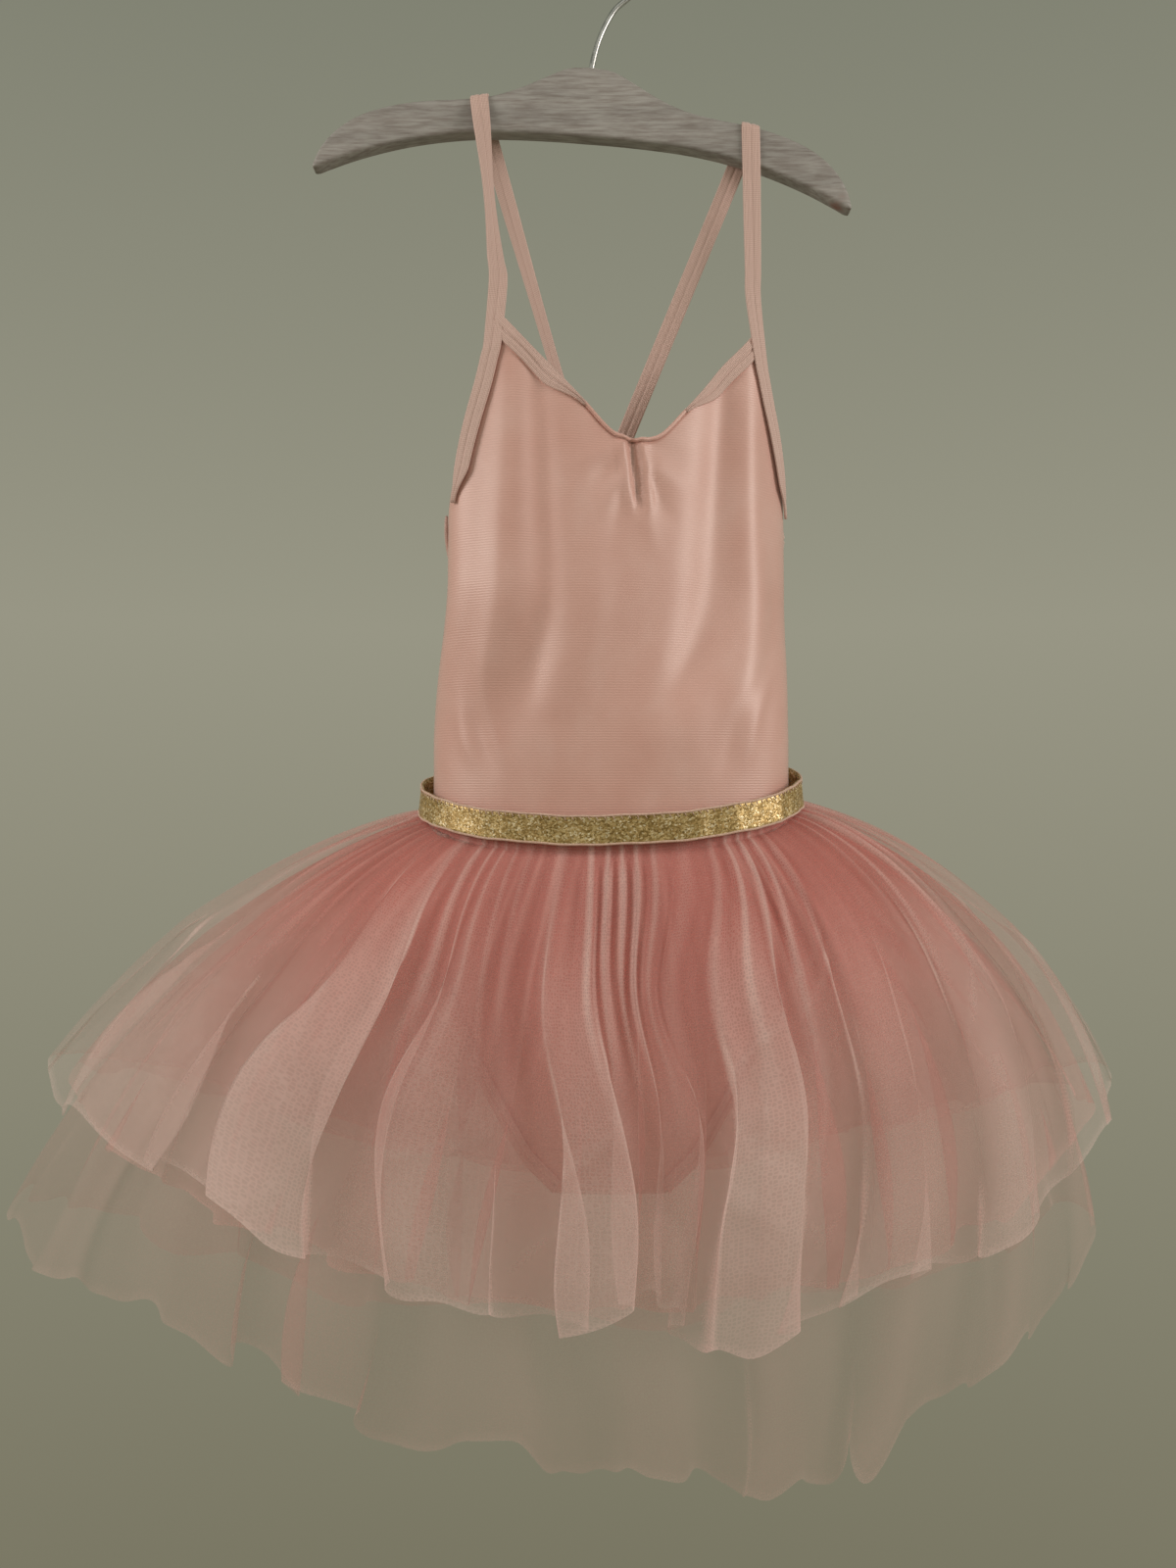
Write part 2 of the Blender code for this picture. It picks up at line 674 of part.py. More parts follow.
def hanger_edge(x, name):
    """Height of the hanger's top or bottom edge at a distance from its middle, in its own frame."""
    count = {"top": 17, "bottom": 13}[name]
    line = smooth_line(np.column_stack([column(HANGER_HALF, "x"), column(HANGER_HALF, name)]), count)
    return float(np.interp(abs(x), line[:, 0], line[:, 1]))


def hanger_body(material):
    """The wooden arm: its outline drawn out to its thickness, with rounded edges."""
    outline = hanger_outline()
    half = HANGER_THICKNESS / 2
    points = [(x, side * half, z) for side in (-1, 1) for x, z in outline]
    count = len(outline)
    faces = [list(range(count)), list(range(2 * count - 1, count - 1, -1))]
    faces += [[i, i + count, (i + 1) % count + count, (i + 1) % count] for i in range(count)]
    arm = new_object("hanger_body", points, faces, material)
    arm.location = (CROWN_X, 0, -HOOK_HEIGHT)
    arm.rotation_euler = (0, HANGER_TILT, 0)
    rounding = arm.modifiers.new("rounded edges", "BEVEL")
    rounding.width = HANGER_EDGE_ROUND
    rounding.segments = 2
    rounding.angle_limit = math.radians(50)
    hole = bpy.data.meshes.new("hook hole")
    shape = bmesh.new()
    radius = HOOK_WIRE / 2 + SEAM_GAP
    bmesh.ops.create_cone(
        shape, cap_ends=True, segments=12, radius1=radius, radius2=radius, depth=2 * HOOK_HOLE_DEPTH
    )
    shape.to_mesh(hole)
    shape.free()
    drill = bpy.data.objects.new("hook hole", hole)
    bpy.context.scene.collection.objects.link(drill)
    drill.location = (CROWN_X, 0, -HOOK_HEIGHT)
    drill.rotation_euler = (0, HANGER_TILT, 0)
    drill.hide_render = True
    drill.display_type = "WIRE"
    cut = arm.modifiers.new("hook hole", "BOOLEAN")
    cut.operation = "DIFFERENCE"
    cut.object = drill
    return arm


def hanger_hook(material):
    """The wire hook: straight out of the crown, then most of a turn round the rod it hangs on."""
    line_radius = HOOK_INNER_RADIUS + HOOK_WIRE / 2
    foot = hanger_to_row(0, 0, -HOOK_DEPTH_IN_WOOD)
    mouth = hanger_to_row(0, 0, 0.001)
    knots = [foot, mouth, (-0.0035, 0, -0.060), (0.0045, 0, -0.0445), (0.0145, 0, -0.0350)]
    for degrees in (10, -20, -50, -80, -110, -140, -170, -195):
        turn = math.radians(degrees)
        knots.append(
            (line_radius * math.cos(turn), 0, -HOOK_INNER_RADIUS - line_radius * math.sin(turn))
        )
    curve = bpy.data.curves.new("hanger_hook", "CURVE")
    curve.dimensions = "3D"
    curve.bevel_depth = HOOK_WIRE / 2
    curve.bevel_resolution = 2
    curve.use_fill_caps = True
    line = smooth_line(knots, 34)
    spline = curve.splines.new("POLY")
    spline.points.add(len(line) - 1)
    for point, place in zip(spline.points, line):
        point.co = (*place, 1.0)
    curve.materials.append(material)
    wire = bpy.data.objects.new("hanger_hook", curve)
    bpy.context.scene.collection.objects.link(wire)
    return wire


def strap_run(start, end, steps, twist, bow):
    """A straight run of a strap between two ends. Each end is a place and the way its width lies."""
    run = []
    along = np.array(end[0]) - np.array(start[0])
    along = along / np.linalg.norm(along)
    for share in np.linspace(0, 1, steps + 1):
        place = np.array(start[0]) * (1 - share) + np.array(end[0]) * share
        place = place + np.array([0, bow * math.sin(math.pi * share), 0])
        across = np.array(start[1]) * (1 - share) + np.array(end[1]) * share
        turn = math.radians(twist) * math.sin(math.pi * share)
        across = across * math.cos(turn) + np.cross(along, across) * math.sin(turn)
        run.append((place, across))
    return run


def over_the_hanger(x):
    """A strap's way over the hanger's top edge, from the front face to the back one."""
    half = HANGER_THICKNESS / 2
    reach = HANGER_EDGE_ROUND + STRAP_SEAT + STRAP_THICKNESS / 2
    own_x = (x - CROWN_X) / math.cos(HANGER_TILT)
    ends = [hanger_edge(own_x + side * STRAP_WIDTH / 2, "top") for side in (-1, 1)]
    slope = math.atan2(ends[1] - ends[0], STRAP_WIDTH) - HANGER_TILT
    across = np.array([math.cos(slope), 0, math.sin(slope)])
    own_z = max(hanger_edge(own_x, "top"), sum(ends) / 2) - HANGER_EDGE_ROUND
    places = []
    for side, turns in ((-1, (170, 145, 120, 95)), (1, (85, 60, 35, 10))):
        for degrees in turns:
            turn = math.radians(degrees)
            y = side * (half - HANGER_EDGE_ROUND) + reach * math.cos(turn)
            places.append((hanger_to_row(own_x, y, own_z + reach * math.sin(turn)), across))
    return places


def under_the_hanger(foot, over):
    """Where a strap that hangs straight down leaves the lower edge of the hanger's front face."""
    x = over[0][0]
    own_x = (x - CROWN_X) / math.cos(HANGER_TILT)
    low = hanger_to_row(own_x, 0, hanger_edge(own_x, "bottom"))[2] - STRAP_THICKNESS
    share = (over[0][2] - low) / (over[0][2] - foot[2])
    return np.array([x + (foot[0] - x) * share, over[0][1], low]), over[1]


def strap(name, side, material):
    """A strap from a front peak over the hanger and across the back to the other side's edge."""
    over = over_the_hanger(STRAP_OVER_X[side])
    peak = math.asin(math.sin(TIP_ANGLE) - STRAP_WIDTH / 2.4 / body_section(PEAK_Z)[0])
    lift = SEAM_GAP + BINDING_EASE + BINDING_THICKNESS / 2
    foot = panel_point(np.array(side * peak), np.array(PEAK_Z + STRAP_FOOT), lift)
    beside = panel_point(np.array(side * peak + SMALL_TURN), np.array(PEAK_Z + STRAP_FOOT), lift)
    start = (foot, (beside - foot) / SMALL_TURN / CHEST_HALF_WIDTH)
    twist = STRAP_TWIST[side]
    front = strap_run(start, over[0], 9, twist[0], 0.0)
    if foot[1] > over[0][0][1]:
        knee = under_the_hanger(foot, over[0])
        front = strap_run(start, knee, 6, twist[0], 0.0)[:-1] + strap_run(knee, over[0], 2, 0, 0)
    angle = STRAP_END_ANGLE[side]
    edge = edge_height(BACK_TOP_EDGE, angle)
    lift = 2 * SEAM_GAP + NECK_EASE + BINDING_THICKNESS + STRAP_THICKNESS / 2
    ends = []
    for drop, drift in ((-0.0005, 0.0), (STRAP_OVERLAP, STRAP_DRIFT[side])):
        here = panel_point(np.array(angle + drift), np.array(edge - drop), lift, False)
        beside = np.array(angle + drift + SMALL_TURN)
        there = panel_point(beside, np.array(edge - drop), lift, False)
        ends.append((here, (there - here) / SMALL_TURN / CHEST_HALF_WIDTH))
    back = strap_run(over[-1], ends[0], 15, twist[1], STRAP_BOW[side])
    path = front[:-1] + over + back[1:] + ends[1:]
    place = np.array([p for p, _ in path])
    across = np.array([a for _, a in path])
    along = np.gradient(place, axis=0)
    along /= np.linalg.norm(along, axis=1, keepdims=True)
    across = across - along * (across * along).sum(axis=1, keepdims=True)
    across /= np.linalg.norm(across, axis=1, keepdims=True)
    normal = np.cross(along, across)
    corners = []
    for wide, thick in ((-1, -1), (1, -1), (1, 1), (-1, 1)):
        corners.append(
            place + across * wide * STRAP_WIDTH / 2 + normal * thick * STRAP_THICKNESS / 2
        )
    points = np.stack(corners, axis=1).reshape(-1, 3)
    count = len(place)
    faces = [[0, 1, 2, 3], [4 * count - 4 + i for i in (3, 2, 1, 0)]]
    for i in range(count - 1):
        for k in range(4):
            a, b = 4 * i + k, 4 * i + (k + 1) % 4
            faces += [[a, b, b + 4], [a, b + 4, a + 4]]
    return new_object(name, points, faces, material)


def build_hanger():
    wood = finish("limed wood", "9d958f", 0.62)
    wire = finish("zinc plated wire", "b4b8b9", 0.32, 1.0)
    hanger_body(wood)
    hanger_hook(wire)


def build_leotard():
    jersey = finish("nylon jersey", "f2c4b7", 0.42)
    elastic = finish("fold-over elastic", "eabfb4", 0.5)
    leotard_panel("leotard_front", 33, FRONT_TOP_EDGE, True, jersey)
    leotard_panel("leotard_back", 25, BACK_TOP_EDGE, False, jersey)
    for name, side in (("left", -1), ("right", 1)):
        neck_binding("binding_neck_" + name, side, elastic)
        armhole_binding("binding_armhole_" + name, side, elastic)
        leg_binding("binding_leg_" + name, side, elastic)
        strap("strap_" + name, side, elastic)
    back_binding(elastic)


def build_skirt():
    tulle = finish("nylon tulle", "e7a79c", 0.7)
    glitter = finish("glitter elastic", "b5a05a", 0.4, 0.6)
    layers = (
        ("tulle_under", UNDER_FOLDS),
        ("tulle_middle", MIDDLE_FOLDS),
        ("tulle_top", TOP_FOLDS),
    )
    for order, (name, table) in enumerate(layers):
        tulle_layer(name, table, order, tulle)
    waistband(glitter)


def main():
    for thing in list(bpy.data.objects):
        bpy.data.objects.remove(thing, do_unlink=True)
    build_hanger()
    build_leotard()
    build_skirt()


main()
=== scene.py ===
# %% [markdown]
# # A child's tutu dress on a wooden hanger
#
# The dress hangs by its straps from a small limed hanger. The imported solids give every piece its
# place and size. This lesson dresses them: each cloth becomes a thin sheet with its own folds,
# gathers and weave, and the hanger gets its wood and wire. We start by loading the solids.

# %% Load the frame
import math

import bpy
import numpy as np
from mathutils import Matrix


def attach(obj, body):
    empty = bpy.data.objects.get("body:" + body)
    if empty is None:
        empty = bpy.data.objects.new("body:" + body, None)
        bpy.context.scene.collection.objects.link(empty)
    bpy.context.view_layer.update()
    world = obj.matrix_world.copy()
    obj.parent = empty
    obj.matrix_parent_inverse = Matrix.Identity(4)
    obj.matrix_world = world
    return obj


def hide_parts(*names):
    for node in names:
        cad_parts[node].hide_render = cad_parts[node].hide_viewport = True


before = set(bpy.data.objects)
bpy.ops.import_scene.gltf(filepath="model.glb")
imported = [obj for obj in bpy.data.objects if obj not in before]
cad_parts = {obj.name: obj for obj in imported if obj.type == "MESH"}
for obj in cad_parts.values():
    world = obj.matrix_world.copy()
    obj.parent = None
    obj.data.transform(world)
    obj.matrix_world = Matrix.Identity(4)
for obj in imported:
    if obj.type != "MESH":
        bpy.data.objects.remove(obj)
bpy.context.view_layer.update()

# %% [markdown]
# ## Camera
#
# The photograph was taken level, square to the dress, from about three quarters of a metre. The
# image scale at the hanger gives the distance: one pixel of the photograph is 0.545 mm there.

# %% Camera
MM = 0.001
PHOTO_HEIGHT_PX = 1600
MM_PER_PX = 0.545
FOCAL_PX = 1417
SENSOR_MM = 36
CAMERA_X = -9.8 * MM
CAMERA_Z = -474 * MM

bpy.ops.object.select_all(action="DESELECT")
bpy.ops.object.camera_add(location=(CAMERA_X, -FOCAL_PX * MM_PER_PX * MM, CAMERA_Z))
camera = bpy.context.object
camera.name = "camera"
camera.rotation_euler = (math.radians(90), 0, 0)
camera.data.lens = FOCAL_PX / PHOTO_HEIGHT_PX * SENSOR_MM
camera.data.sensor_width = SENSOR_MM
bpy.context.scene.camera = camera
print("camera", round(-camera.location.y, 3), "m away, lens", round(camera.data.lens, 1), "mm")

# %% [markdown]
# ## Colour and node helpers
#
# Colours are picked as sRGB hex values, but shaders work in linear light, so one function turns
# them. A second function adds a shader node with its settings and its links in one line.

# %% Helpers for colour and nodes


def linear(hex_colour):
    """An sRGB hex colour as linear red, green, blue and alpha."""
    parts = [int(hex_colour[i : i + 2], 16) / 255 for i in (1, 3, 5)]
    return tuple(c / 12.92 if c <= 0.04045 else ((c + 0.055) / 1.055) ** 2.4 for c in parts) + (1.0,)


def add_node(tree, kind, settings=None, **inputs):
    """Adds a node. Inputs hold a value, or the socket that is linked to them."""
    node = tree.nodes.new(kind)
    for name, value in (settings or {}).items():
        setattr(node, name, value)
    for name, value in inputs.items():
        key = int(name[1:]) if name[0] == "n" and name[1:].isdigit() else name.replace("_", " ")
        if isinstance(value, bpy.types.NodeSocket):
            tree.links.new(value, node.inputs[key])
        else:
            node.inputs[key].default_value = value
    return node


def new_material(name):
    """A new material, its node tree and its shader."""
    material = bpy.data.materials.new(name)
    material.use_nodes = True
    shader = material.node_tree.nodes["Principled BSDF"]
    return material, material.node_tree, shader


def ramp(tree, factor, *stops):
    """A colour ramp through (place, hex colour) stops."""
    node = add_node(tree, "ShaderNodeValToRGB", None, n0=factor)
    node.color_ramp.elements[0].position = stops[0][0]
    node.color_ramp.elements[0].color = linear(stops[0][1])
    node.color_ramp.elements[1].position = stops[-1][0]
    node.color_ramp.elements[1].color = linear(stops[-1][1])
    for place, colour in stops[1:-1]:
        node.color_ramp.elements.new(place).color = linear(colour)
    return node.outputs[0]


print("colour and node helpers ready")

# %% [markdown]
# ## Room light and floor
#
# The light in the photograph is soft and dim, a little green, with no hard shadow. A world colour
# near the wall's tone gives most of it; it is painted darker towards the top and bottom, painted
# shade of the wall behind. Three large soft lamps shape the folds. The floor is a plain pale disc,
# well below the hem.

# %% Light and floor
FLOOR_Z = -1.35
FLOOR_RADIUS = 0.70

world = bpy.data.worlds.new("soft room")
world.use_nodes = True
bpy.context.scene.world = world
tree = world.node_tree
way = add_node(tree, "ShaderNodeTexCoord")
parts = add_node(tree, "ShaderNodeSeparateXYZ", None, n0=way.outputs["Generated"])
height = add_node(tree, "ShaderNodeMapRange", None, n0=parts.outputs["Z"], n1=-0.55, n2=0.55)
# The backdrop is painted darker towards the top and bottom: painted shade of the wall behind.
wall_tone_with_painted_shade = ramp(
    tree, height.outputs[0], (0.0, "#76735f"), (0.35, "#8b8977"), (0.6, "#989685"), (1.0, "#7d7f70"),
)
tree.links.new(wall_tone_with_painted_shade, tree.nodes["Background"].inputs["Color"])
tree.nodes["Background"].inputs["Strength"].default_value = 1.0
bpy.context.scene.view_settings.view_transform = "Standard"
if hasattr(bpy.context.scene, "cycles"):
    bpy.context.scene.cycles.transparent_max_bounces = 32


def soft_lamp(name, place, aim, size, watts, colour):
    """A large square lamp that points at a place on the dress."""
    bpy.ops.object.light_add(type="AREA", location=place)
    lamp = bpy.context.object
    lamp.name = name
    lamp.data.size = size
    lamp.data.energy = watts
    lamp.data.color = linear(colour)[:3]
    way = [a - b for a, b in zip(aim, place)]
    flat = math.hypot(way[0], way[1])
    lamp.rotation_euler = (math.atan2(flat, -way[2]), 0, math.atan2(way[1], way[0]) - math.pi / 2)
    return lamp


soft_lamp("lamp left", (-1.35, -0.60, 0.15), (0, 0, -0.45), 0.7, 10.5, "#fff3ea")
soft_lamp("lamp right", (1.35, -0.62, 0.05), (0, 0, -0.45), 0.7, 10.5, "#fff3ea")
soft_lamp("lamp high", (0.0, -1.3, 1.0), (0, 0, -0.4), 1.4, 3.0, "#fff6ee")

bpy.ops.mesh.primitive_circle_add(
    vertices=96, radius=FLOOR_RADIUS, fill_type="NGON", location=(0, 0, FLOOR_Z),
)
floor = bpy.context.object
floor.name = "floor"
paint, tree, shader = new_material("matt emulsion floor")
grain = add_node(tree, "ShaderNodeTexNoise", None, Scale=40.0, Detail=3.0)
tree.links.new(
    ramp(tree, grain.outputs[0], (0.3, "#b9b7aa"), (0.7, "#c2c0b3")), shader.inputs["Base Color"],
)
shader.inputs["Roughness"].default_value = 0.8
floor.data.materials.append(paint)

# %% [markdown]
# ## Making cloth from a grid
#
# Every cloth here begins as a flat grid primitive, as on a cutting table. A shape function says
# where each point of the grid goes on the dress. The grid keeps its UV map in metres of flat
# cloth, so a weave drawn on it has its real scale and bunches up where the cloth is gathered.

# %% Helpers for cloth


def cloth_from_grid(name, points, flat, closed=False, density_and_painted_light=None):
    """A grid primitive moved onto points[row, column]. flat gives each point's place on the cut.
    The colours given for each point, if any, are kept for the finish to read: the net's density and its
    painted light."""
    rows, columns = points.shape[:2]
    bpy.ops.object.select_all(action="DESELECT")
    bpy.ops.mesh.primitive_grid_add(x_subdivisions=columns - 1, y_subdivisions=rows - 1, size=1)
    piece = bpy.context.object
    piece.name = piece.data.name = name
    count = len(piece.data.vertices)
    assert count == rows * columns, (count, rows, columns)
    start = np.empty(count * 3)
    piece.data.vertices.foreach_get("co", start)
    start = start.reshape(-1, 3)
    column = np.rint((start[:, 0] + 0.5) * (columns - 1)).astype(int)
    row = np.rint((0.5 - start[:, 1]) * (rows - 1)).astype(int)
    piece.data.vertices.foreach_set("co", points[row, column].reshape(-1))
    corner = np.empty(len(piece.data.loops), int)
    piece.data.loops.foreach_get("vertex_index", corner)
    piece.data.uv_layers[0].data.foreach_set("uv", flat[row, column][corner].reshape(-1))
    if density_and_painted_light is not None:
        kept = piece.data.color_attributes.new("density_and_painted_light", "FLOAT_COLOR", "POINT")
        kept.data.foreach_set("color", density_and_painted_light[row, column].astype(np.float32).reshape(-1))
    piece.data.update()
    face_towards_outside(piece)
    if closed:
        bpy.ops.object.mode_set(mode="EDIT")
        bpy.ops.mesh.select_all(action="SELECT")
        bpy.ops.mesh.remove_doubles(threshold=1e-6)
        bpy.ops.object.mode_set(mode="OBJECT")
    bpy.ops.object.shade_smooth()
    return piece


def face_towards_outside(piece):
    """Turns the faces so that they point away from the dress's upright axis."""
    count = len(piece.data.polygons)
    normals, middles = np.empty(count * 3), np.empty(count * 3)
    piece.data.polygons.foreach_get("normal", normals)
    piece.data.polygons.foreach_get("center", middles)
    normals, middles = normals.reshape(-1, 3), middles.reshape(-1, 3)
    if (normals[:, :2] * middles[:, :2]).sum() < 0:
        bpy.ops.object.mode_set(mode="EDIT")
        bpy.ops.mesh.select_all(action="SELECT")
        bpy.ops.mesh.flip_normals()
        bpy.ops.object.mode_set(mode="OBJECT")


def give_thickness(piece, thickness):
    """Adds a wall inwards with Solidify and applies it."""
    wall = piece.modifiers.new("cloth", "SOLIDIFY")
    wall.thickness = thickness
    wall.offset = -1
    bpy.context.view_layer.objects.active = piece
    bpy.ops.object.modifier_apply(modifier=wall.name)


def close_ends():
    """Fills the open ends of the tube just made and turns its faces outwards."""
    bpy.ops.object.mode_set(mode="EDIT")
    bpy.ops.mesh.select_all(action="SELECT")
    bpy.ops.mesh.fill_holes(sides=0)
    bpy.ops.mesh.normals_make_consistent(inside=False)
    bpy.ops.object.mode_set(mode="OBJECT")


def run_along(line):
    """How far along a line each of its points lies."""
    return np.concatenate([[0], np.cumsum(np.linalg.norm(np.diff(line, axis=0), axis=1))])


def dress_with(piece, material, slot, *nodes):
    """Gives a piece its finish, its body and the solids that it stands for. Its slot is not used."""
    piece.data.materials.clear()
    piece.data.materials.append(material)
    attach(piece, "root")
    if nodes:
        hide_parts(*nodes)
    return piece


def area_of(piece):
    """The whole surface of a mesh in square metres."""
    return sum(face.area for face in piece.data.polygons)


def smooth_step(low, high, value):
    """A share that eases from 0 at low to 1 at high."""
    share = np.clip((value - low) / (high - low), 0.0, 1.0)
    return share * share * (3.0 - 2.0 * share)


def table_curve(x, table, name):
    """Reads a table at x with a smooth curve through its rows, whose first column rises."""
    place = table[0].index(name)
    xs = np.array([row[0] for row in table[1:]], float)
    ys = np.array([row[place] for row in table[1:]], float)
    slopes = np.gradient(ys, xs)
    i = np.clip(np.searchsorted(xs, x) - 1, 0, len(xs) - 2)
    h = xs[i + 1] - xs[i]
    t = np.clip((x - xs[i]) / h, 0, 1)
    rise = (1 + 2 * t) * (1 - t) ** 2 * ys[i] + t * t * (3 - 2 * t) * ys[i + 1]
    return rise + h * (t * (1 - t) ** 2 * slopes[i] + t * t * (t - 1) * slopes[i + 1])


print("helpers ready")


# %% [markdown]
# ## The shape of the leotard
#
# The leotard is two panels of stretch jersey, sewn at the sides. Each height of it has a flat
# oval section. The bodice hangs turned about its axis, because its left strap is pulled up over
# the hanger further forward. These are the same sections that the solids were built from.

# %% Leotard sections
CLOTH = 0.0012
SEAM_GAP = 0.0003
LAYER_STEP = CLOTH + 0.0004
BINDING_WIDTH = 0.0085
BINDING_THICKNESS = 0.0012
BINDING_EASE = 0.0009
NECK_EASE = 0.0003
NECK_BINDING_STARTS = (17.0, 17.0, 17.0)
ARMHOLE_BINDING_STARTS = (52.1, 52.1, 52.1)
ARMHOLE_BINDING_ENDS = (89.0, 87.0, 85.0)
EDGE_BINDING_OVER = 0.0012
BACK_BINDING_OVER = 0.14
LEG_BINDING_OVER = 0.1
STRAP_WIDTH = 0.010
STRAP_THICKNESS = 0.0014
BAND_TOP_Z = -0.471
SIDE = math.radians(90)
BODY_CENTRE_X = 0.003
BODICE_SHIFT = 0.005
SHIFT_ENDS_AT = (-0.450, -0.360)
BODICE_TURN = math.radians(14)
TURN_ENDS_AT = (-0.447, -0.365)
TIP_ANGLE = math.radians(52)
WAIST_HALF_WIDTH = 0.0985
WAIST_FRONT = 0.045
WAIST_BACK = 0.035
CROTCH_Z = -0.702
PEAK_Z = -0.2215
BODY_SECTIONS = (
    ("z", "half_width", "front", "back"),
    (-0.215, 0.0945, 0.027, 0.020),
    (-0.270, 0.0950, 0.033, 0.024),
    (-0.329, 0.0960, 0.037, 0.028),
    (-0.394, 0.0965, 0.041, 0.031),
    (-0.435, 0.0980, 0.0445, 0.0345),
    (-0.450, WAIST_HALF_WIDTH, WAIST_FRONT, WAIST_BACK),
    (-0.517, WAIST_HALF_WIDTH, WAIST_FRONT, WAIST_BACK),
    (-0.545, 0.1010, 0.044, 0.0345),
    (-0.580, 0.1030, 0.040, 0.033),
    (-0.632, 0.1030, 0.029, 0.026),
    (-0.672, 0.1030, 0.016, 0.015),
    (-0.692, 0.1030, 0.006, 0.006),
    (CROTCH_Z, 0.1030, 0.00135, 0.00135),
)
FRONT_TOP_EDGE = (
    ("degrees", "z"),
    (0, -0.2915),
    (7, -0.2890),
    (17, -0.2735),
    (34, -0.2455),
    (52, PEAK_Z),
    (59, -0.2560),
    (70, -0.2860),
    (80, -0.3120),
    (90, -0.3290),
)
BACK_TOP_EDGE = (
    ("degrees", "z"),
    (0, -0.384),
    (22, -0.381),
    (45, -0.371),
    (68, -0.353),
    (90, -0.3290),
)
LEG_EDGE = (
    ("degrees", "z"),
    (0, CROTCH_Z),
    (17.5, CROTCH_Z + 0.001),
    (27.5, -0.682),
    (46, -0.628),
    (62, -0.582),
    (90, -0.568),
)
DRAG_FOLDS = (
    ("x_top", "x_bottom", "rise", "half_width"),
    (-0.062, -0.076, 0.0028, 0.012),
    (-0.055, -0.045, -0.0026, 0.009),
    (-0.042, -0.018, 0.0018, 0.012),
    (0.058, 0.030, -0.0042, 0.013),
    (0.066, 0.066, 0.0030, 0.012),
)

# %% Points on the leotard


def column(table, name):
    """The values under one heading of a table."""
    place = table[0].index(name)
    return np.array([row[place] for row in table[1:]], float)


def body_section(z):
    """Half width, front depth and back depth of the leotard at a height."""
    heights = column(BODY_SECTIONS, "z")[::-1]
    return tuple(
        np.interp(z, heights, column(BODY_SECTIONS, name)[::-1])
        for name in ("half_width", "front", "back")
    )


def body_point(angle, z, outward=0.0):
    """A point on the leotard's outer face. The angle runs from the front, positive to the right."""
    half_width, front, back = body_section(z)
    depth = np.where(np.cos(angle) >= 0, front, back)
    x = half_width * np.sin(angle)
    y = -depth * np.cos(angle)
    normal_x = np.sin(angle) / half_width
    normal_y = -np.cos(angle) / np.maximum(depth, 0.004)
    length = np.hypot(normal_x, normal_y)
    x = x + outward * normal_x / length
    y = y + outward * normal_y / length
    turn = BODICE_TURN * smooth_step(*TURN_ENDS_AT, z)
    middle = BODY_CENTRE_X + BODICE_SHIFT * smooth_step(*SHIFT_ENDS_AT, z)
    return np.stack(
        [
            middle + x * np.cos(turn) - y * np.sin(turn),
            x * np.sin(turn) + y * np.cos(turn),
            z + 0.0 * x,
        ],
        axis=-1,
    )


def drag_folds(angle, z):
    """How far the bodice front stands out of its plain section."""
    across = body_section(z)[0] * np.sin(angle)
    fall = np.clip((z - PEAK_Z) / (BAND_TOP_Z - PEAK_Z), 0.0, 1.0)
    rise = 0.0 * across
    rows = zip(*(column(DRAG_FOLDS, name) for name in DRAG_FOLDS[0]))
    for x_top, x_bottom, height, half_width in rows:
        middle = x_top + (x_bottom - x_top) * fall
        rise = rise + height * np.exp(-(((across - middle) / half_width) ** 2))
    clear_of_seam = 1.0 - smooth_step(0.66, 0.97, np.abs(np.sin(angle)))
    return rise * clear_of_seam * smooth_step(-0.452, -0.405, z)


def panel_point(angle, z, outward=0.0, front=True):
    """A point on a panel's outer face, with the front's drag folds in it."""
    if front:
        return body_point(angle, z, outward + drag_folds(angle, z))
    return body_point(math.pi - angle, z, outward)


def edge_height(table, angle):
    """Height of a panel's edge at an angle."""
    degrees = np.abs(np.degrees(angle))
    return np.interp(degrees, column(table, "degrees"), column(table, "z"))

print("leotard sections", len(BODY_SECTIONS) - 1)

# %% [markdown]
# ## Leotard panels
#
# The bodice is satin-matt nylon jersey. It hangs by two straps, so its cloth falls in soft upright
# drags, and a small gather at the bottom of the neckline pulls short creases out of the middle.
# Lower down it is slightly slack over the hips. We lay a fine grid over each panel and put
# these forms in: troughs and ridges with soft sides, none quite like its neighbour.

# %% Leotard panels
PANEL_COLUMNS = 141
PANEL_ROWS = 131
PINCH_X = -0.003
PINCH_TOP_Z = -0.292
PINCH_LENGTH = 0.036
CREASE_SCALE = 0.80
DRAG_MORE = 0.15
# The band's top edge at the middle of the front, and how much higher it is at the side seams
BAND_DIP_Z = -0.490
BAND_DIP = 0.0235
FRONT_HALF_WIDTH = 0.098
# Where the creases fade out: this far above the band in front, and at these heights behind
FRONT_FADE = (0.004, 0.022)
BACK_FADE = (-0.458, -0.436)
# From this angle on, the front's top edge follows the rounded one
PEAK_FROM_DEGREES = 35
EDGE_SAMPLES = 361
ROUNDING_WINDOW = 27
JERSEY_THICKNESS = 0.9 * MM
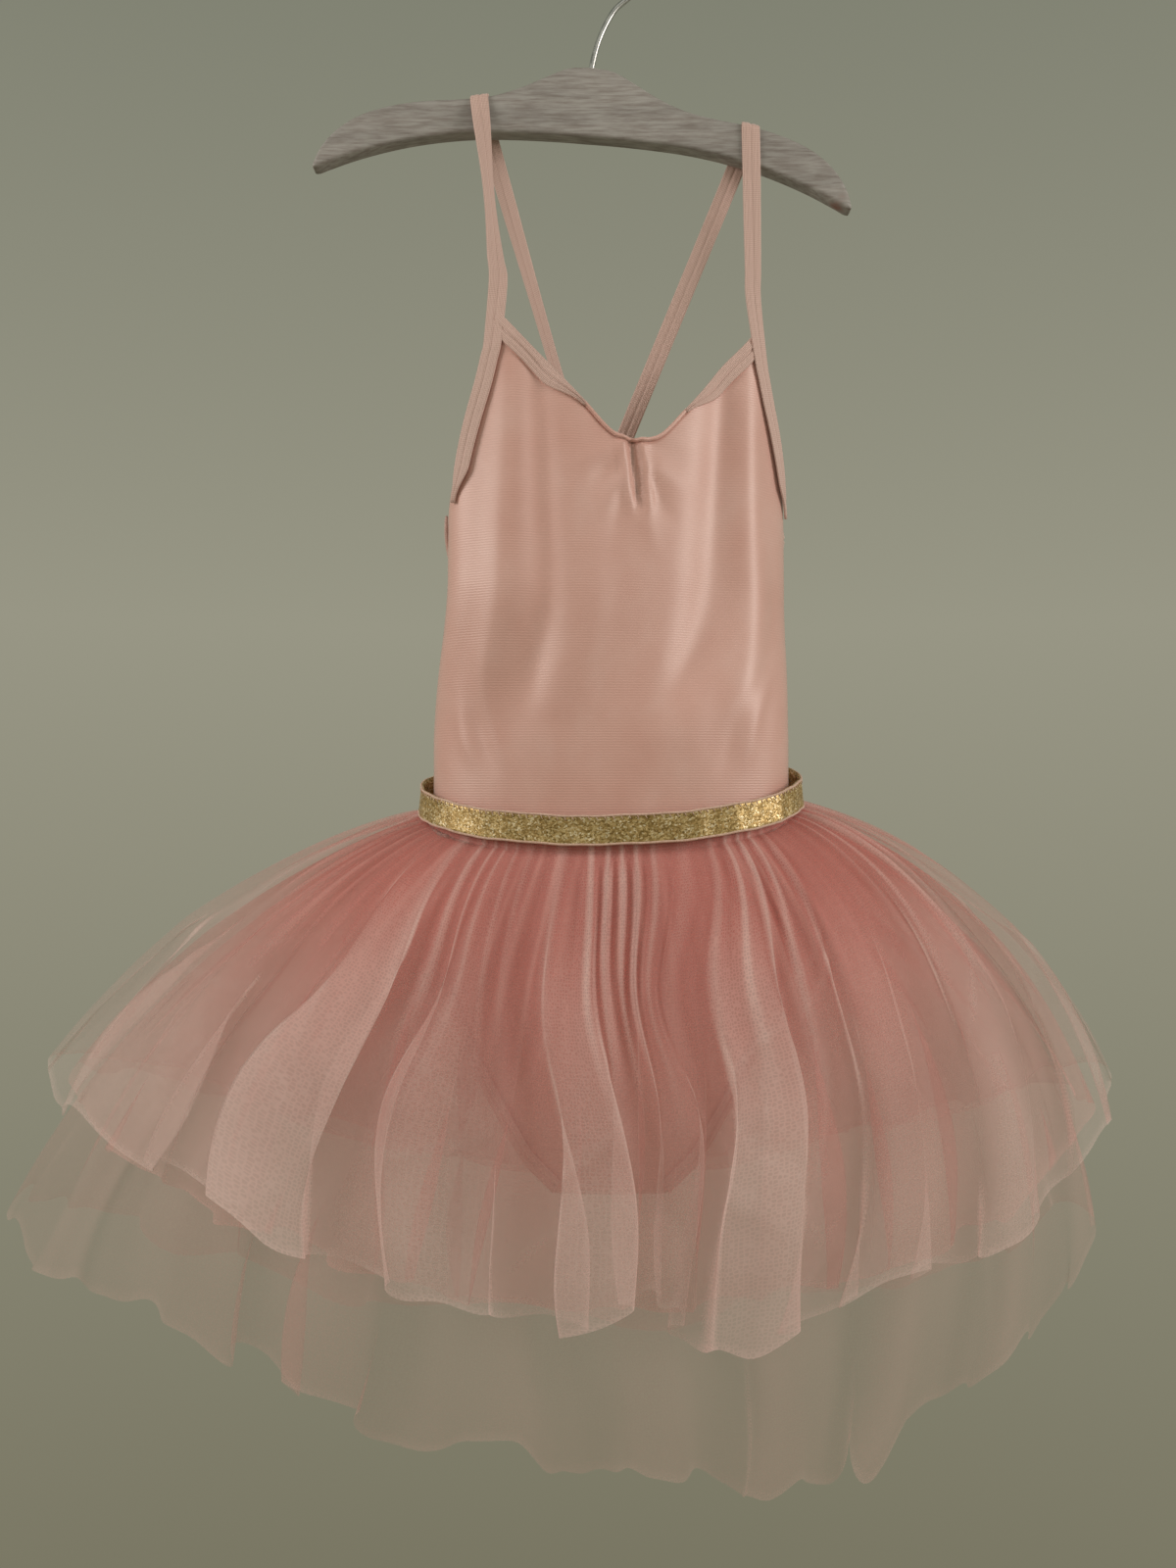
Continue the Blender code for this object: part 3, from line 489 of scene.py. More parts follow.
# Creases of the bodice: start and end across the body and in height, how far each stands out
# or in, and its half width
CREASES = (
    ("x0", "z0", "x1", "z1", "rise", "width"),
    (-0.005, -0.294, -0.034, -0.306, 0.0013, 0.0036),
    (-0.005, -0.298, -0.030, -0.322, -0.0011, 0.0040),
    (-0.004, -0.304, -0.022, -0.336, 0.0012, 0.0042),
    (-0.003, -0.308, -0.014, -0.350, -0.0010, 0.0044),
    (0.000, -0.308, 0.010, -0.352, 0.0011, 0.0046),
    (0.001, -0.303, 0.022, -0.336, -0.0012, 0.0042),
    (0.002, -0.298, 0.030, -0.318, 0.0013, 0.0040),
    (0.003, -0.293, 0.036, -0.300, -0.0010, 0.0034),
    (-0.006, -0.302, -0.018, -0.306, 0.0008, 0.0018),
    (0.003, -0.306, 0.015, -0.309, 0.0008, 0.0018),
    (-0.006, -0.311, -0.016, -0.318, 0.0007, 0.0018),
    (0.002, -0.314, 0.013, -0.322, 0.0007, 0.0018),
    (-0.088, -0.415, -0.070, -0.478, 0.0014, 0.0046),
    (-0.081, -0.400, -0.060, -0.482, -0.0013, 0.0050),
    (-0.071, -0.415, -0.048, -0.486, 0.0010, 0.0050),
    (-0.070, -0.270, -0.072, -0.470, 0.0011, 0.0080),
    (-0.055, -0.280, -0.052, -0.480, -0.0012, 0.0100),
    (-0.022, -0.340, -0.028, -0.490, 0.0008, 0.0130),
    (0.014, -0.350, 0.004, -0.490, -0.0008, 0.0130),
    (0.044, -0.320, 0.042, -0.485, 0.0009, 0.0110),
    (0.062, -0.300, 0.056, -0.480, -0.0013, 0.0085),
    (0.078, -0.320, 0.074, -0.472, 0.0014, 0.0075),
    (0.086, -0.405, 0.070, -0.474, 0.0012, 0.0046),
    (0.072, -0.420, 0.058, -0.480, -0.0010, 0.0048),
)
BACK_CREASES = (
    ("x0", "z0", "x1", "z1", "rise", "width"),
    (-0.060, -0.370, -0.048, -0.445, 0.0015, 0.0070),
    (-0.035, -0.385, -0.040, -0.446, -0.0013, 0.0080),
    (-0.006, -0.392, -0.002, -0.440, 0.0012, 0.0075),
    (0.030, -0.388, 0.022, -0.446, 0.0014, 0.0080),
    (0.055, -0.375, 0.064, -0.440, -0.0014, 0.0070),
    (0.076, -0.360, 0.070, -0.430, 0.0010, 0.0060),
)

# %% Helpers for creases


def soft_edge(degrees):
    """The front's top edge with the corner at its peak rounded off, as the elastic rounds it."""
    fine = np.linspace(0, 90, EDGE_SAMPLES)
    heights = edge_height(FRONT_TOP_EDGE, np.radians(fine))
    padded = np.pad(heights, ROUNDING_WINDOW // 2, mode="edge")
    soft = np.convolve(padded, np.ones(ROUNDING_WINDOW) / ROUNDING_WINDOW, mode="valid")
    return np.interp(degrees, fine, soft)


def creases(table, x, z):
    """Height of all creases of a table at places on the panel."""
    rise = 0.0 * x
    for x0, z0, x1, z1, height, width in table[1:]:
        along = np.array([x1 - x0, z1 - z0])
        length = np.hypot(*along)
        run = ((x - x0) * along[0] + (z - z0) * along[1]) / length
        off = ((x - x0) * along[1] - (z - z0) * along[0]) / length
        bend = 0.02 * length * np.sin(math.pi * np.clip(run / length, 0, 1))
        ends = smooth_step(-0.10, 0.45, run / length) * (1 - smooth_step(0.50, 1.15, run / length))
        rise = rise + CREASE_SCALE * height * ends * np.exp(-(((off - bend) / width) ** 2))
    return rise


def pinch(x, z):
    """The small gather below the neckline: a deep short trough with a lip at either side."""
    down = np.clip((PINCH_TOP_Z - z) / PINCH_LENGTH, -0.2, 1.4)
    fade = smooth_step(-0.2, 0.05, down) * (1 - smooth_step(0.75, 1.15, down))
    middle = PINCH_X + 0.004 * down
    trough = -0.0034 * np.exp(-(((x - middle) / 0.0022) ** 2))
    lips = 0.0021 * np.exp(-((abs(x - middle) - 0.0055) ** 2) / 0.0026**2)
    return (trough + lips) * fade


# %% Make the panels


def panel(name, top_edge, table, front):
    """One panel as a fine sheet. Its grid runs from side seam to side seam and from top to leg."""
    angles = np.linspace(-SIDE + 0.004, SIDE - 0.004, PANEL_COLUMNS)
    shares = np.linspace(0, 1, PANEL_ROWS)[:, None]
    top = table_curve(np.abs(np.degrees(angles)), top_edge, "z")
    if front:
        top = np.where(np.abs(angles) > TIP_ANGLE, edge_height(top_edge, angles), top)
        degrees = np.abs(np.degrees(angles))
        top = np.where(degrees > PEAK_FROM_DEGREES, np.minimum(top, soft_edge(degrees)), top)
    bottom = edge_height(LEG_EDGE, angles)
    heights = top + (bottom - top) * shares
    around = np.broadcast_to(angles, heights.shape)
    across = body_section(heights)[0] * np.sin(around)
    seam = 1 - smooth_step(0.80, 0.985, np.abs(np.sin(around)))
    above_band = smooth_step(*BACK_FADE, heights)
    if front:
        band_top = BAND_DIP_Z + BAND_DIP * (across / FRONT_HALF_WIDTH) ** 2
        above_band = smooth_step(band_top + FRONT_FADE[0], band_top + FRONT_FADE[1], heights)
    relief = creases(table, across, heights)
    if front:
        relief = relief + pinch(across, heights) + DRAG_MORE * drag_folds(around, heights)
    slack = 0.0012 * np.sin(across / 0.013 + heights / 0.021) * np.sin(heights / 0.019 + 2)
    slack = slack * smooth_step(-0.520, -0.545, heights) * (1 - smooth_step(-0.660, -0.685, heights))
    relief = (relief * above_band + slack) * seam - 0.00005
    points = panel_point(around, heights, relief, front)
    flat = np.stack([across * math.pi / 2, heights], axis=-1)
    piece = cloth_from_grid(name, points, flat)
    print(name, "area", round(area_of(piece), 4), "m2")
    return piece


leotard_front = panel("Leotard_front", FRONT_TOP_EDGE, CREASES, True)
leotard_back = panel("Leotard_back", BACK_TOP_EDGE, BACK_CREASES, False)
for piece in (leotard_front, leotard_back):
    give_thickness(piece, JERSEY_THICKNESS)

# %% [markdown]
# ## Fold-over elastic
#
# The armholes, the sides of the neckline, the back and the leg openings are bound with a soft
# elastic with a fold line along its middle and fine ribs. We sweep one rounded profile with that
# groove along each edge: a small cross-section wrapped along a line on the panel.

# %% Bindings
BINDING_PROFILE = 21
NECK_REACH = (50.0, 49.2, 48.4)
NECK_POINTS = 45
NECK_TAPER = 0.75
ARMHOLE_POINTS = 41


def groove_profile(share, thickness):
    """Height of the elastic across its width: round shoulders, a groove at the fold line, and a
    shallower one along each row of stitches."""
    shoulder = np.sqrt(np.clip(1 - np.abs(share) ** 4, 0, 1))
    fold = 0.62 * np.exp(-((share / 0.12) ** 2))
    stitched = 0.24 * np.exp(-(((abs(share) - 0.62) / 0.10) ** 2))
    return thickness * ((0.25 + 0.75 * shoulder) * (1 - fold - stitched))


def closed_strip(name, outer, inner, flat_width):
    """A strip closed round its profile, from grids of its outer and its inner face."""
    ring = np.concatenate([outer, inner[::-1], outer[:1]])
    run = run_along(outer[len(outer) // 2])
    round_it = np.linspace(0, 2 * flat_width, len(ring))
    flat = np.stack(np.broadcast_arrays(run[None, :], round_it[:, None]), axis=-1)
    piece = cloth_from_grid(name, ring, flat, closed=True)
    close_ends()
    return piece


def binding(name, line_at, ease):
    """A binding on a panel. line_at gives angle, height and face at each share of its width."""
    outer, inner = [], []
    for share in np.linspace(-1, 1, BINDING_PROFILE):
        angle, z, place = line_at((share + 1) / 2)
        lift = SEAM_GAP + ease + groove_profile(share, BINDING_THICKNESS * 1.15)
        outer.append(place(angle, z, lift))
        if abs(share) < 0.99:
            inner.append(place(angle, z, SEAM_GAP / 2))
    return closed_strip(name, np.array(outer), np.array(inner), BINDING_WIDTH)


# %% Lines for the bindings


def edge_line(start, end, side, count, taper=0.0, rounded=False):
    """A line along the front's top edge, moved in by a share of the binding's width, which
    narrows by taper at its lower end."""

    def line_at(share):
        over = EDGE_BINDING_OVER / BINDING_WIDTH
        narrow = 1 - taper * (1 - smooth_step(0.0, 0.35, np.linspace(0, 1, count)))
        moved = -over + (1 + over) * share * narrow
        first, last = (np.interp(share, (0, 0.5, 1), ends) for ends in (start, end))
        degrees = np.linspace(first, last, count)
        heights = edge_height(FRONT_TOP_EDGE, np.radians(degrees))
        soft = np.convolve(np.pad(heights, 4, mode="edge"), np.ones(9) / 9, mode="valid")
        blend = np.minimum(1, np.minimum(np.arange(count), np.arange(count)[::-1]) / 6)
        heights = soft_edge(degrees) if rounded else heights + (soft - heights) * blend
        across = body_section(heights)[0] * np.sin(np.radians(degrees))
        step_x, step_z = np.gradient(across), np.gradient(heights)
        length = np.hypot(step_x, step_z)
        x = across + step_z / length * BINDING_WIDTH * moved
        z = heights - step_x / length * BINDING_WIDTH * moved
        limit = math.sin(SIDE - 0.010)
        angle = side * np.arcsin(np.clip(x / body_section(z)[0], -limit, limit))
        return angle, z, lambda a, b, lift: panel_point(a, b, lift, True)

    return line_at


def back_line(share):
    """A line along the back's top edge."""
    angles = np.linspace(-SIDE + 0.02, SIDE - 0.02, 91)
    top = table_curve(np.abs(np.degrees(angles)), BACK_TOP_EDGE, "z")
    moved = -BACK_BINDING_OVER + (1 + BACK_BINDING_OVER) * share
    return angles, top - BINDING_WIDTH * moved, lambda a, b, lift: panel_point(a, b, lift, False)


def leg_line(side):
    """A line round a leg opening: up the front edge, over the hip and down the back edge."""

    def line_at(share):
        moved = -LEG_BINDING_OVER + (1 + LEG_BINDING_OVER) * share
        degrees = np.linspace(18, 162, 97)
        own = np.minimum(degrees, 180 - degrees)
        edge = np.interp(own, column(LEG_EDGE, "degrees"), column(LEG_EDGE, "z"))
        steep = np.interp(own, [18, 40, 62, 90], [0.45, 0.75, 0.55, 0.0])
        z = edge + BINDING_WIDTH * moved * np.sqrt(1 - steep**2)
        inward = np.radians(own) - steep * BINDING_WIDTH * moved / body_section(edge)[0]
        inward = np.where(degrees > 90, math.pi - inward, inward)
        return side * inward, z, lambda a, b, lift: body_point(a, b, lift)

    return line_at


# %% Make the bindings
bindings = {}
for word, side in (("left", -1), ("right", 1)):
    neck_line = edge_line(NECK_BINDING_STARTS, NECK_REACH, side, NECK_POINTS, NECK_TAPER, True)
    bindings["binding_neck_" + word] = binding("Neck_binding_" + word, neck_line, NECK_EASE)
    bindings["binding_leg_" + word] = binding("Leg_binding_" + word, leg_line(side), BINDING_EASE)
bindings["binding_back"] = binding("Back_binding", back_line, NECK_EASE)
print("bindings", len(bindings))

# %% [markdown]
# ## Rolled neckline
#
# Between the two neck bindings, the bottom of the V has no binding. The jersey's cut edge rolls
# over itself, as knitted cloth does, and makes a soft cord. A thin round sweep gives the roll.

# %% Rolled neckline
ROLL_RADIUS = 1.05 * MM


def tube(name, line, radius, sides=12):
    """A round rope of cloth or wire along a line."""
    along = np.gradient(line, axis=0)
    along /= np.linalg.norm(along, axis=1, keepdims=True)
    aside = np.cross(along, [0.0, 1.0, 0.0])
    aside /= np.linalg.norm(aside, axis=1, keepdims=True)
    up = np.cross(aside, along)
    turn = np.linspace(0, 2 * math.pi, sides + 1)
    ring = line[None] + radius * (
        np.cos(turn)[:, None, None] * aside[None] + np.sin(turn)[:, None, None] * up[None]
    )
    run = run_along(line)
    flat = np.stack(np.broadcast_arrays(run[None, :], (turn * radius)[:, None]), axis=-1)
    piece = cloth_from_grid(name, ring, flat, closed=True)
    close_ends()
    return piece


roll_angles = np.radians(np.linspace(-17.5, 17.5, 61))
roll_heights = table_curve(np.abs(np.degrees(roll_angles)), FRONT_TOP_EDGE, "z")
roll_across = body_section(roll_heights)[0] * np.sin(roll_angles)
roll_relief = creases(CREASES, roll_across, roll_heights) + pinch(roll_across, roll_heights)
roll_relief = roll_relief + DRAG_MORE * drag_folds(roll_angles, roll_heights)
neck_roll = tube(
    "Neck_roll", panel_point(roll_angles, roll_heights + 0.0004, roll_relief + 0.0006, True), ROLL_RADIUS
)

# %% [markdown]
# ## Straps
#
# The straps are the same elastic, folded and sewn shut, with fine ribs and the groove along the
# middle. Each leaves a front peak, goes over the hanger and crosses to the other side of the back.
# The left one hangs twisted, so that we see its edge. The same elastic binds the armhole, so one
# sweep runs from the side seam up to the peak and on over the hanger, turning along the way.

# %% Straps
HANGER_THICKNESS = 0.012
HANGER_EDGE_ROUND = 0.0022
HANGER_TILT = math.radians(4.5)
HOOK_HEIGHT = 0.078
HOOK_WIRE = 0.0032
HOOK_INNER_RADIUS = 0.019
HOOK_DEPTH_IN_WOOD = 0.011
CROWN_X = -0.008
STRAP_SEAT = 0.0003
STRAP_FOOT = 0.0006
STRAP_OVERLAP = 0.0075
STRAP_OVER_X = {-1: -0.068, 1: 0.082}
STRAP_TWIST = {-1: (62, 58), 1: (4, 8)}
STRAP_BOW = {-1: 0.0045, 1: -0.0005}
STRAP_END_ANGLE = {-1: math.radians(9), 1: math.radians(-20)}
STRAP_DRIFT = {-1: 0.022, 1: -0.030}
SMALL_TURN = 0.02
CHEST_HALF_WIDTH = 0.09
HANGER_HALF = (
    ("x", "top", "bottom"),
    (0.000, 0.0000, -0.0385),
    (0.012, -0.0012, -0.0385),
    (0.024, -0.0068, -0.0387),
    (0.038, -0.0140, -0.0392),
    (0.054, -0.0200, -0.0402),
    (0.072, -0.0232, -0.0424),
    (0.092, -0.0258, -0.0464),
    (0.110, -0.0300, -0.0515),
    (0.126, -0.0365, -0.0572),
    (0.138, -0.0455, -0.0624),
    (0.146, -0.0560, -0.0662),
    (0.150, -0.0672, -0.0690),
)

# %% Helpers for the hanger


def smooth_line(knots, count):
    """Evenly spread points on a smooth curve through knots."""
    knots = np.array(knots, float)
    padded = np.vstack([2 * knots[0] - knots[1], knots, 2 * knots[-1] - knots[-2]])
    fine = []
    for i in range(1, len(padded) - 2):
        a, b, c, d = padded[i - 1 : i + 3]
        for t in np.linspace(0, 1, 24, endpoint=False):
            fine.append(
                0.5
                * (
                    2 * b
                    + (c - a) * t
                    + (2 * a - 5 * b + 4 * c - d) * t * t
                    + (3 * b - a - 3 * c + d) * t**3
                )
            )
    fine = np.array(fine + [knots[-1]])
    run = run_along(fine)
    even = np.linspace(0, run[-1], count)
    return np.stack([np.interp(even, run, fine[:, i]) for i in range(fine.shape[1])], axis=1)


def hanger_to_row(x, y, z):
    """Turns a point of the hanger's own frame by its tilt about the foot of the hook."""
    cos, sin = math.cos(HANGER_TILT), math.sin(HANGER_TILT)
    return np.array([CROWN_X + x * cos + z * sin, y, -HOOK_HEIGHT - x * sin + z * cos])


def hanger_edge(x, name):
    """Height of the hanger's top or bottom edge at a distance from its middle, in its own frame."""
    count = {"top": 17, "bottom": 13}[name]
    line = smooth_line(np.column_stack([column(HANGER_HALF, "x"), column(HANGER_HALF, name)]), count)
    return float(np.interp(abs(x), line[:, 0], line[:, 1]))


# %% Ways of the straps


def strap_run(start, end, steps, twist, bow):
    """A straight run of a strap between two ends. Each end is a place and the way its width lies."""
    run = []
    along = np.array(end[0]) - np.array(start[0])
    along = along / np.linalg.norm(along)
    for share in np.linspace(0, 1, steps + 1):
        place = np.array(start[0]) * (1 - share) + np.array(end[0]) * share
        place = place + np.array([0, bow * math.sin(math.pi * share), 0])
        across = np.array(start[1]) * (1 - share) + np.array(end[1]) * share
        turn = math.radians(twist) * math.sin(math.pi * share)
        across = across * math.cos(turn) + np.cross(along, across) * math.sin(turn)
        run.append((place, across))
    return run


def over_the_hanger(x):
    """A strap's way over the hanger's top edge, from the front face to the back one."""
    half = HANGER_THICKNESS / 2
    reach = HANGER_EDGE_ROUND + STRAP_SEAT + STRAP_THICKNESS / 2
    own_x = (x - CROWN_X) / math.cos(HANGER_TILT)
    ends = [hanger_edge(own_x + side * STRAP_WIDTH / 2, "top") for side in (-1, 1)]
    slope = math.atan2(ends[1] - ends[0], STRAP_WIDTH) - HANGER_TILT
    across = np.array([math.cos(slope), 0, math.sin(slope)])
    own_z = max(hanger_edge(own_x, "top"), sum(ends) / 2) - HANGER_EDGE_ROUND
    places = []
    for side, turns in ((-1, (170, 145, 120, 95)), (1, (85, 60, 35, 10))):
        for degrees in turns:
            turn = math.radians(degrees)
            y = side * (half - HANGER_EDGE_ROUND) + reach * math.cos(turn)
            places.append((hanger_to_row(own_x, y, own_z + reach * math.sin(turn)), across))
    return places


def under_the_hanger(foot, over):
    """Where a strap that hangs straight down leaves the lower edge of the hanger's front face."""
    x = over[0][0]
    own_x = (x - CROWN_X) / math.cos(HANGER_TILT)
    low = hanger_to_row(own_x, 0, hanger_edge(own_x, "bottom"))[2] - STRAP_THICKNESS
    share = (over[0][2] - low) / (over[0][2] - foot[2])
    return np.array([x + (foot[0] - x) * share, over[0][1], low]), over[1]


def strap_path(side):
    """Places along a strap and the way its width lies at each."""
    over = over_the_hanger(STRAP_OVER_X[side])
    peak = math.asin(math.sin(TIP_ANGLE) - STRAP_WIDTH / 2.4 / body_section(PEAK_Z)[0])
    lift = SEAM_GAP + BINDING_EASE + BINDING_THICKNESS / 2
    foot = panel_point(np.array(side * peak), np.array(PEAK_Z + STRAP_FOOT), lift)
    beside = panel_point(np.array(side * peak + SMALL_TURN), np.array(PEAK_Z + STRAP_FOOT), lift)
    start = (foot, (beside - foot) / SMALL_TURN / CHEST_HALF_WIDTH)
    twist = STRAP_TWIST[side]
    front = strap_run(start, over[0], 9, twist[0], 0.0)
    if foot[1] > over[0][0][1]:
        knee = under_the_hanger(foot, over[0])
        front = strap_run(start, knee, 6, twist[0], 0.0)[:-1] + strap_run(knee, over[0], 2, 0, 0)
    angle = STRAP_END_ANGLE[side]
    edge = edge_height(BACK_TOP_EDGE, angle)
    lift = 2 * SEAM_GAP + NECK_EASE + BINDING_THICKNESS + STRAP_THICKNESS / 2
    ends = []
    for drop, drift in ((-0.0005, 0.0), (STRAP_OVERLAP, STRAP_DRIFT[side])):
        here = panel_point(np.array(angle + drift), np.array(edge - drop), lift, False)
        beside = np.array(angle + drift + SMALL_TURN)
        there = panel_point(beside, np.array(edge - drop), lift, False)
        ends.append((here, (there - here) / SMALL_TURN / CHEST_HALF_WIDTH))
    back = strap_run(over[-1], ends[0], 15, twist[1], STRAP_BOW[side])
    path = front[:-1] + over + back[1:] + ends[1:]
    place = np.array([p for p, _ in path])
    across = np.array([a for _, a in path])
    return place, across


# %% Sweep the straps
STRAP_POINTS = 260
STRAP_PROFILE = 21
ACROSS_SCALE = 0.02
# The strap narrows over this length to this share of its width, moved out by a share of it
END_LENGTH = 0.020
END_WIDTH = 0.30
END_OUT = 0.40


def armhole_path(side):
    """Places up the middle of the armhole's edge, from the side seam, and the way its width lies."""
    line_at = edge_line(ARMHOLE_BINDING_STARTS, ARMHOLE_BINDING_ENDS, side, ARMHOLE_POINTS)
    lift = SEAM_GAP + BINDING_EASE + BINDING_THICKNESS / 2
    low, middle, high = (panel_point(*line_at(share)[:2], lift, True) for share in (0.05, 0.5, 0.95))
    across = -side * (high - low)
    across /= np.linalg.norm(across, axis=1, keepdims=True)
    return middle[::-1][:-4:2], across[::-1][:-4:2]


def swept_strap(name, side):
    """A strap along its path, with a ribbed profile that turns with it. It is one elastic with the
    armhole's binding, so it starts at the side seam."""
    place, across = strap_path(side)
    low_place, low_across = armhole_path(side)
    place = np.concatenate([low_place, place[1:]])
    across = np.concatenate([low_across, across[1:]])
    fine = smooth_line(np.hstack([place, across * ACROSS_SCALE]), STRAP_POINTS)
    place, across = fine[:, :3], fine[:, 3:]
    along = np.gradient(place, axis=0)
    along /= np.linalg.norm(along, axis=1, keepdims=True)
    across = across - along * (across * along).sum(axis=1, keepdims=True)
    across /= np.linalg.norm(across, axis=1, keepdims=True)
    normal = np.cross(along, across)
    shares = np.linspace(-1, 1, STRAP_PROFILE)
    half = STRAP_THICKNESS / 2
    height = np.array([groove_profile(share, half * 1.1) for share in shares])
    run = run_along(place)
    narrow = END_WIDTH + (1 - END_WIDTH) * smooth_step(0.0, END_LENGTH, run)
    place = place + side * across * ((1 - narrow) * STRAP_WIDTH * END_OUT)[:, None]
    wide = (STRAP_WIDTH / 2 * shares[:, None] * narrow)[..., None]
    outer = place[None] + across[None] * wide + normal[None] * height[:, None, None]
    inner = place[None] + across[None] * wide - normal[None] * height[:, None, None]
    return closed_strip(name, outer, inner, STRAP_WIDTH)


straps = {
    "strap_left": swept_strap("Strap_left", -1),
    "strap_right": swept_strap("Strap_right", 1),
}
print("straps", [len(s.data.polygons) for s in straps.values()])


# %% [markdown]
# ## Waistband
#
# The waist is a woven elastic with gold lurex, sewn over the tops of the tulle. It is stretched as
# it is sewn and then draws in, so it waves a little. A ladder of thread holds its top edge. The
# band is a ring with a soft rectangular profile, and each stitch a short round bar.

# %% Waistband
BAND_HEIGHT = 0.016
BAND_THICKNESS = 0.0014
BAND_LEVEL = -0.48
BAND_LEAN_Y = 0.42
BAND_LEAN_X = 0.024
BAND_FLARE = 0.0015
BELOW_BAND = 0.0052
BAND_COLUMNS = 360
BAND_OFF = SEAM_GAP + 3 * LAYER_STEP + SEAM_GAP


def waist_plane(x, y):
    """Height of the top of the waistband."""
    return BAND_TOP_Z + BAND_LEAN_X * (x - BODY_CENTRE_X) + BAND_LEAN_Y * y


def waist_ring(angles, outward):
    """Points of the leotard's waist, moved out."""
    return body_point(angles, np.full_like(angles, BAND_LEVEL), outward)[..., :2]


def band_place(angles, share, lift):
    """A place on the band: the share of its height from the top, and how far out of its face."""
    wave = 0.00016 * np.sin(17 * angles + 1.1) + 0.00012 * np.sin(31 * angles)
    wave = wave + 0.00012 * np.sin(53 * angles + 2.0) * share
    place = waist_ring(angles, BAND_OFF + BAND_FLARE * share + lift + wave)
    edge = 0.00022 * np.sin(11 * angles + 0.6) + 0.00012 * np.sin(29 * angles)
    level = waist_plane(*waist_ring(angles, 0.0).T) - BAND_HEIGHT * share + edge
    return np.column_stack([place, level])


turns = np.linspace(-math.pi, math.pi, BAND_COLUMNS + 1)
outer_face = [(0.0, 0.55), (0.02, 0.85), (0.07, 1.0), (0.15, 0.98), (0.5, 0.94)]
outer_face += [(0.85, 0.98), (0.93, 1.0), (0.98, 0.85), (1.0, 0.55)]
profile = outer_face + [(1.0, 0.1), (0.75, 0.0), (0.5, 0.0), (0.25, 0.0), (0.0, 0.1), outer_face[0]]
ring = np.array([band_place(turns, share, BAND_THICKNESS * lift) for share, lift in profile])
around_waist = float(np.linalg.norm(np.diff(waist_ring(turns, BAND_OFF), axis=0), axis=1).sum())
band_flat = np.stack(
    np.broadcast_arrays(
        (turns / (2 * math.pi) * around_waist)[None, :],
        np.array([BAND_HEIGHT * (1 - share) for share, _ in profile])[:, None],
    ),
    axis=-1,
)
waistband = cloth_from_grid("Waistband", ring, band_flat, closed=True)
bpy.ops.object.mode_set(mode="EDIT")
bpy.ops.mesh.select_all(action="SELECT")
bpy.ops.mesh.normals_make_consistent(inside=False)
bpy.ops.object.mode_set(mode="OBJECT")
print("waistband round", round(around_waist, 3), "m")

# %% Ladder stitches and selvedge cords
STITCHES = 150
STITCH_RADIUS = 0.00024
EDGE_CORD_RADIUS = 0.0006


def bar_row(name, starts, ends, radius):
    """Short round thread bars from one row of points to another, all in one mesh."""
    sides = 5
    bpy.ops.object.select_all(action="DESELECT")
    bpy.ops.mesh.primitive_cylinder_add(vertices=sides, radius=radius, depth=1, end_fill_type="TRIFAN")
    one = bpy.context.object
    base = np.array([v.co for v in one.data.vertices])
    faces = [tuple(p.vertices) for p in one.data.polygons]
    bpy.data.objects.remove(one)
    points, all_faces = [], []
    for k, (a, b) in enumerate(zip(starts, ends)):
        along = b - a
        length = np.linalg.norm(along)
        along = along / length
        aside = np.cross(along, [0.3, 1.0, 0.2])
        aside /= np.linalg.norm(aside)
        up = np.cross(along, aside)
        points.append(
            (a + b) / 2 + base[:, :1] * aside + base[:, 1:2] * up + base[:, 2:] * length * along
        )
        all_faces += [tuple(i + k * len(base) for i in face) for face in faces]
    mesh = bpy.data.meshes.new(name)
    mesh.from_pydata(np.concatenate(points).tolist(), [], all_faces)
    mesh.shade_smooth()
    rows = bpy.data.objects.new(name, mesh)
    bpy.context.scene.collection.objects.link(rows)
    return rows


stitch_at = np.linspace(-math.pi, math.pi, STITCHES, endpoint=False)
ladder = bar_row(
    "Waistband_ladder_stitch",
    band_place(stitch_at, 0.045, BAND_THICKNESS + 0.0001),
    band_place(stitch_at + 0.010, 0.165, BAND_THICKNESS + 0.00015),
    STITCH_RADIUS,
)
edge_turns = np.linspace(-math.pi, math.pi, 361)
edge_cords = []
for word, share in (("top", 0.035), ("bottom", 0.955)):
    line = band_place(edge_turns, share, BAND_THICKNESS - 0.0001)
    edge_cords.append(tube("Waistband_edge_cord_" + word, line, EDGE_CORD_RADIUS, 8))
print("ladder stitches", STITCHES, "edge cords", len(edge_cords))
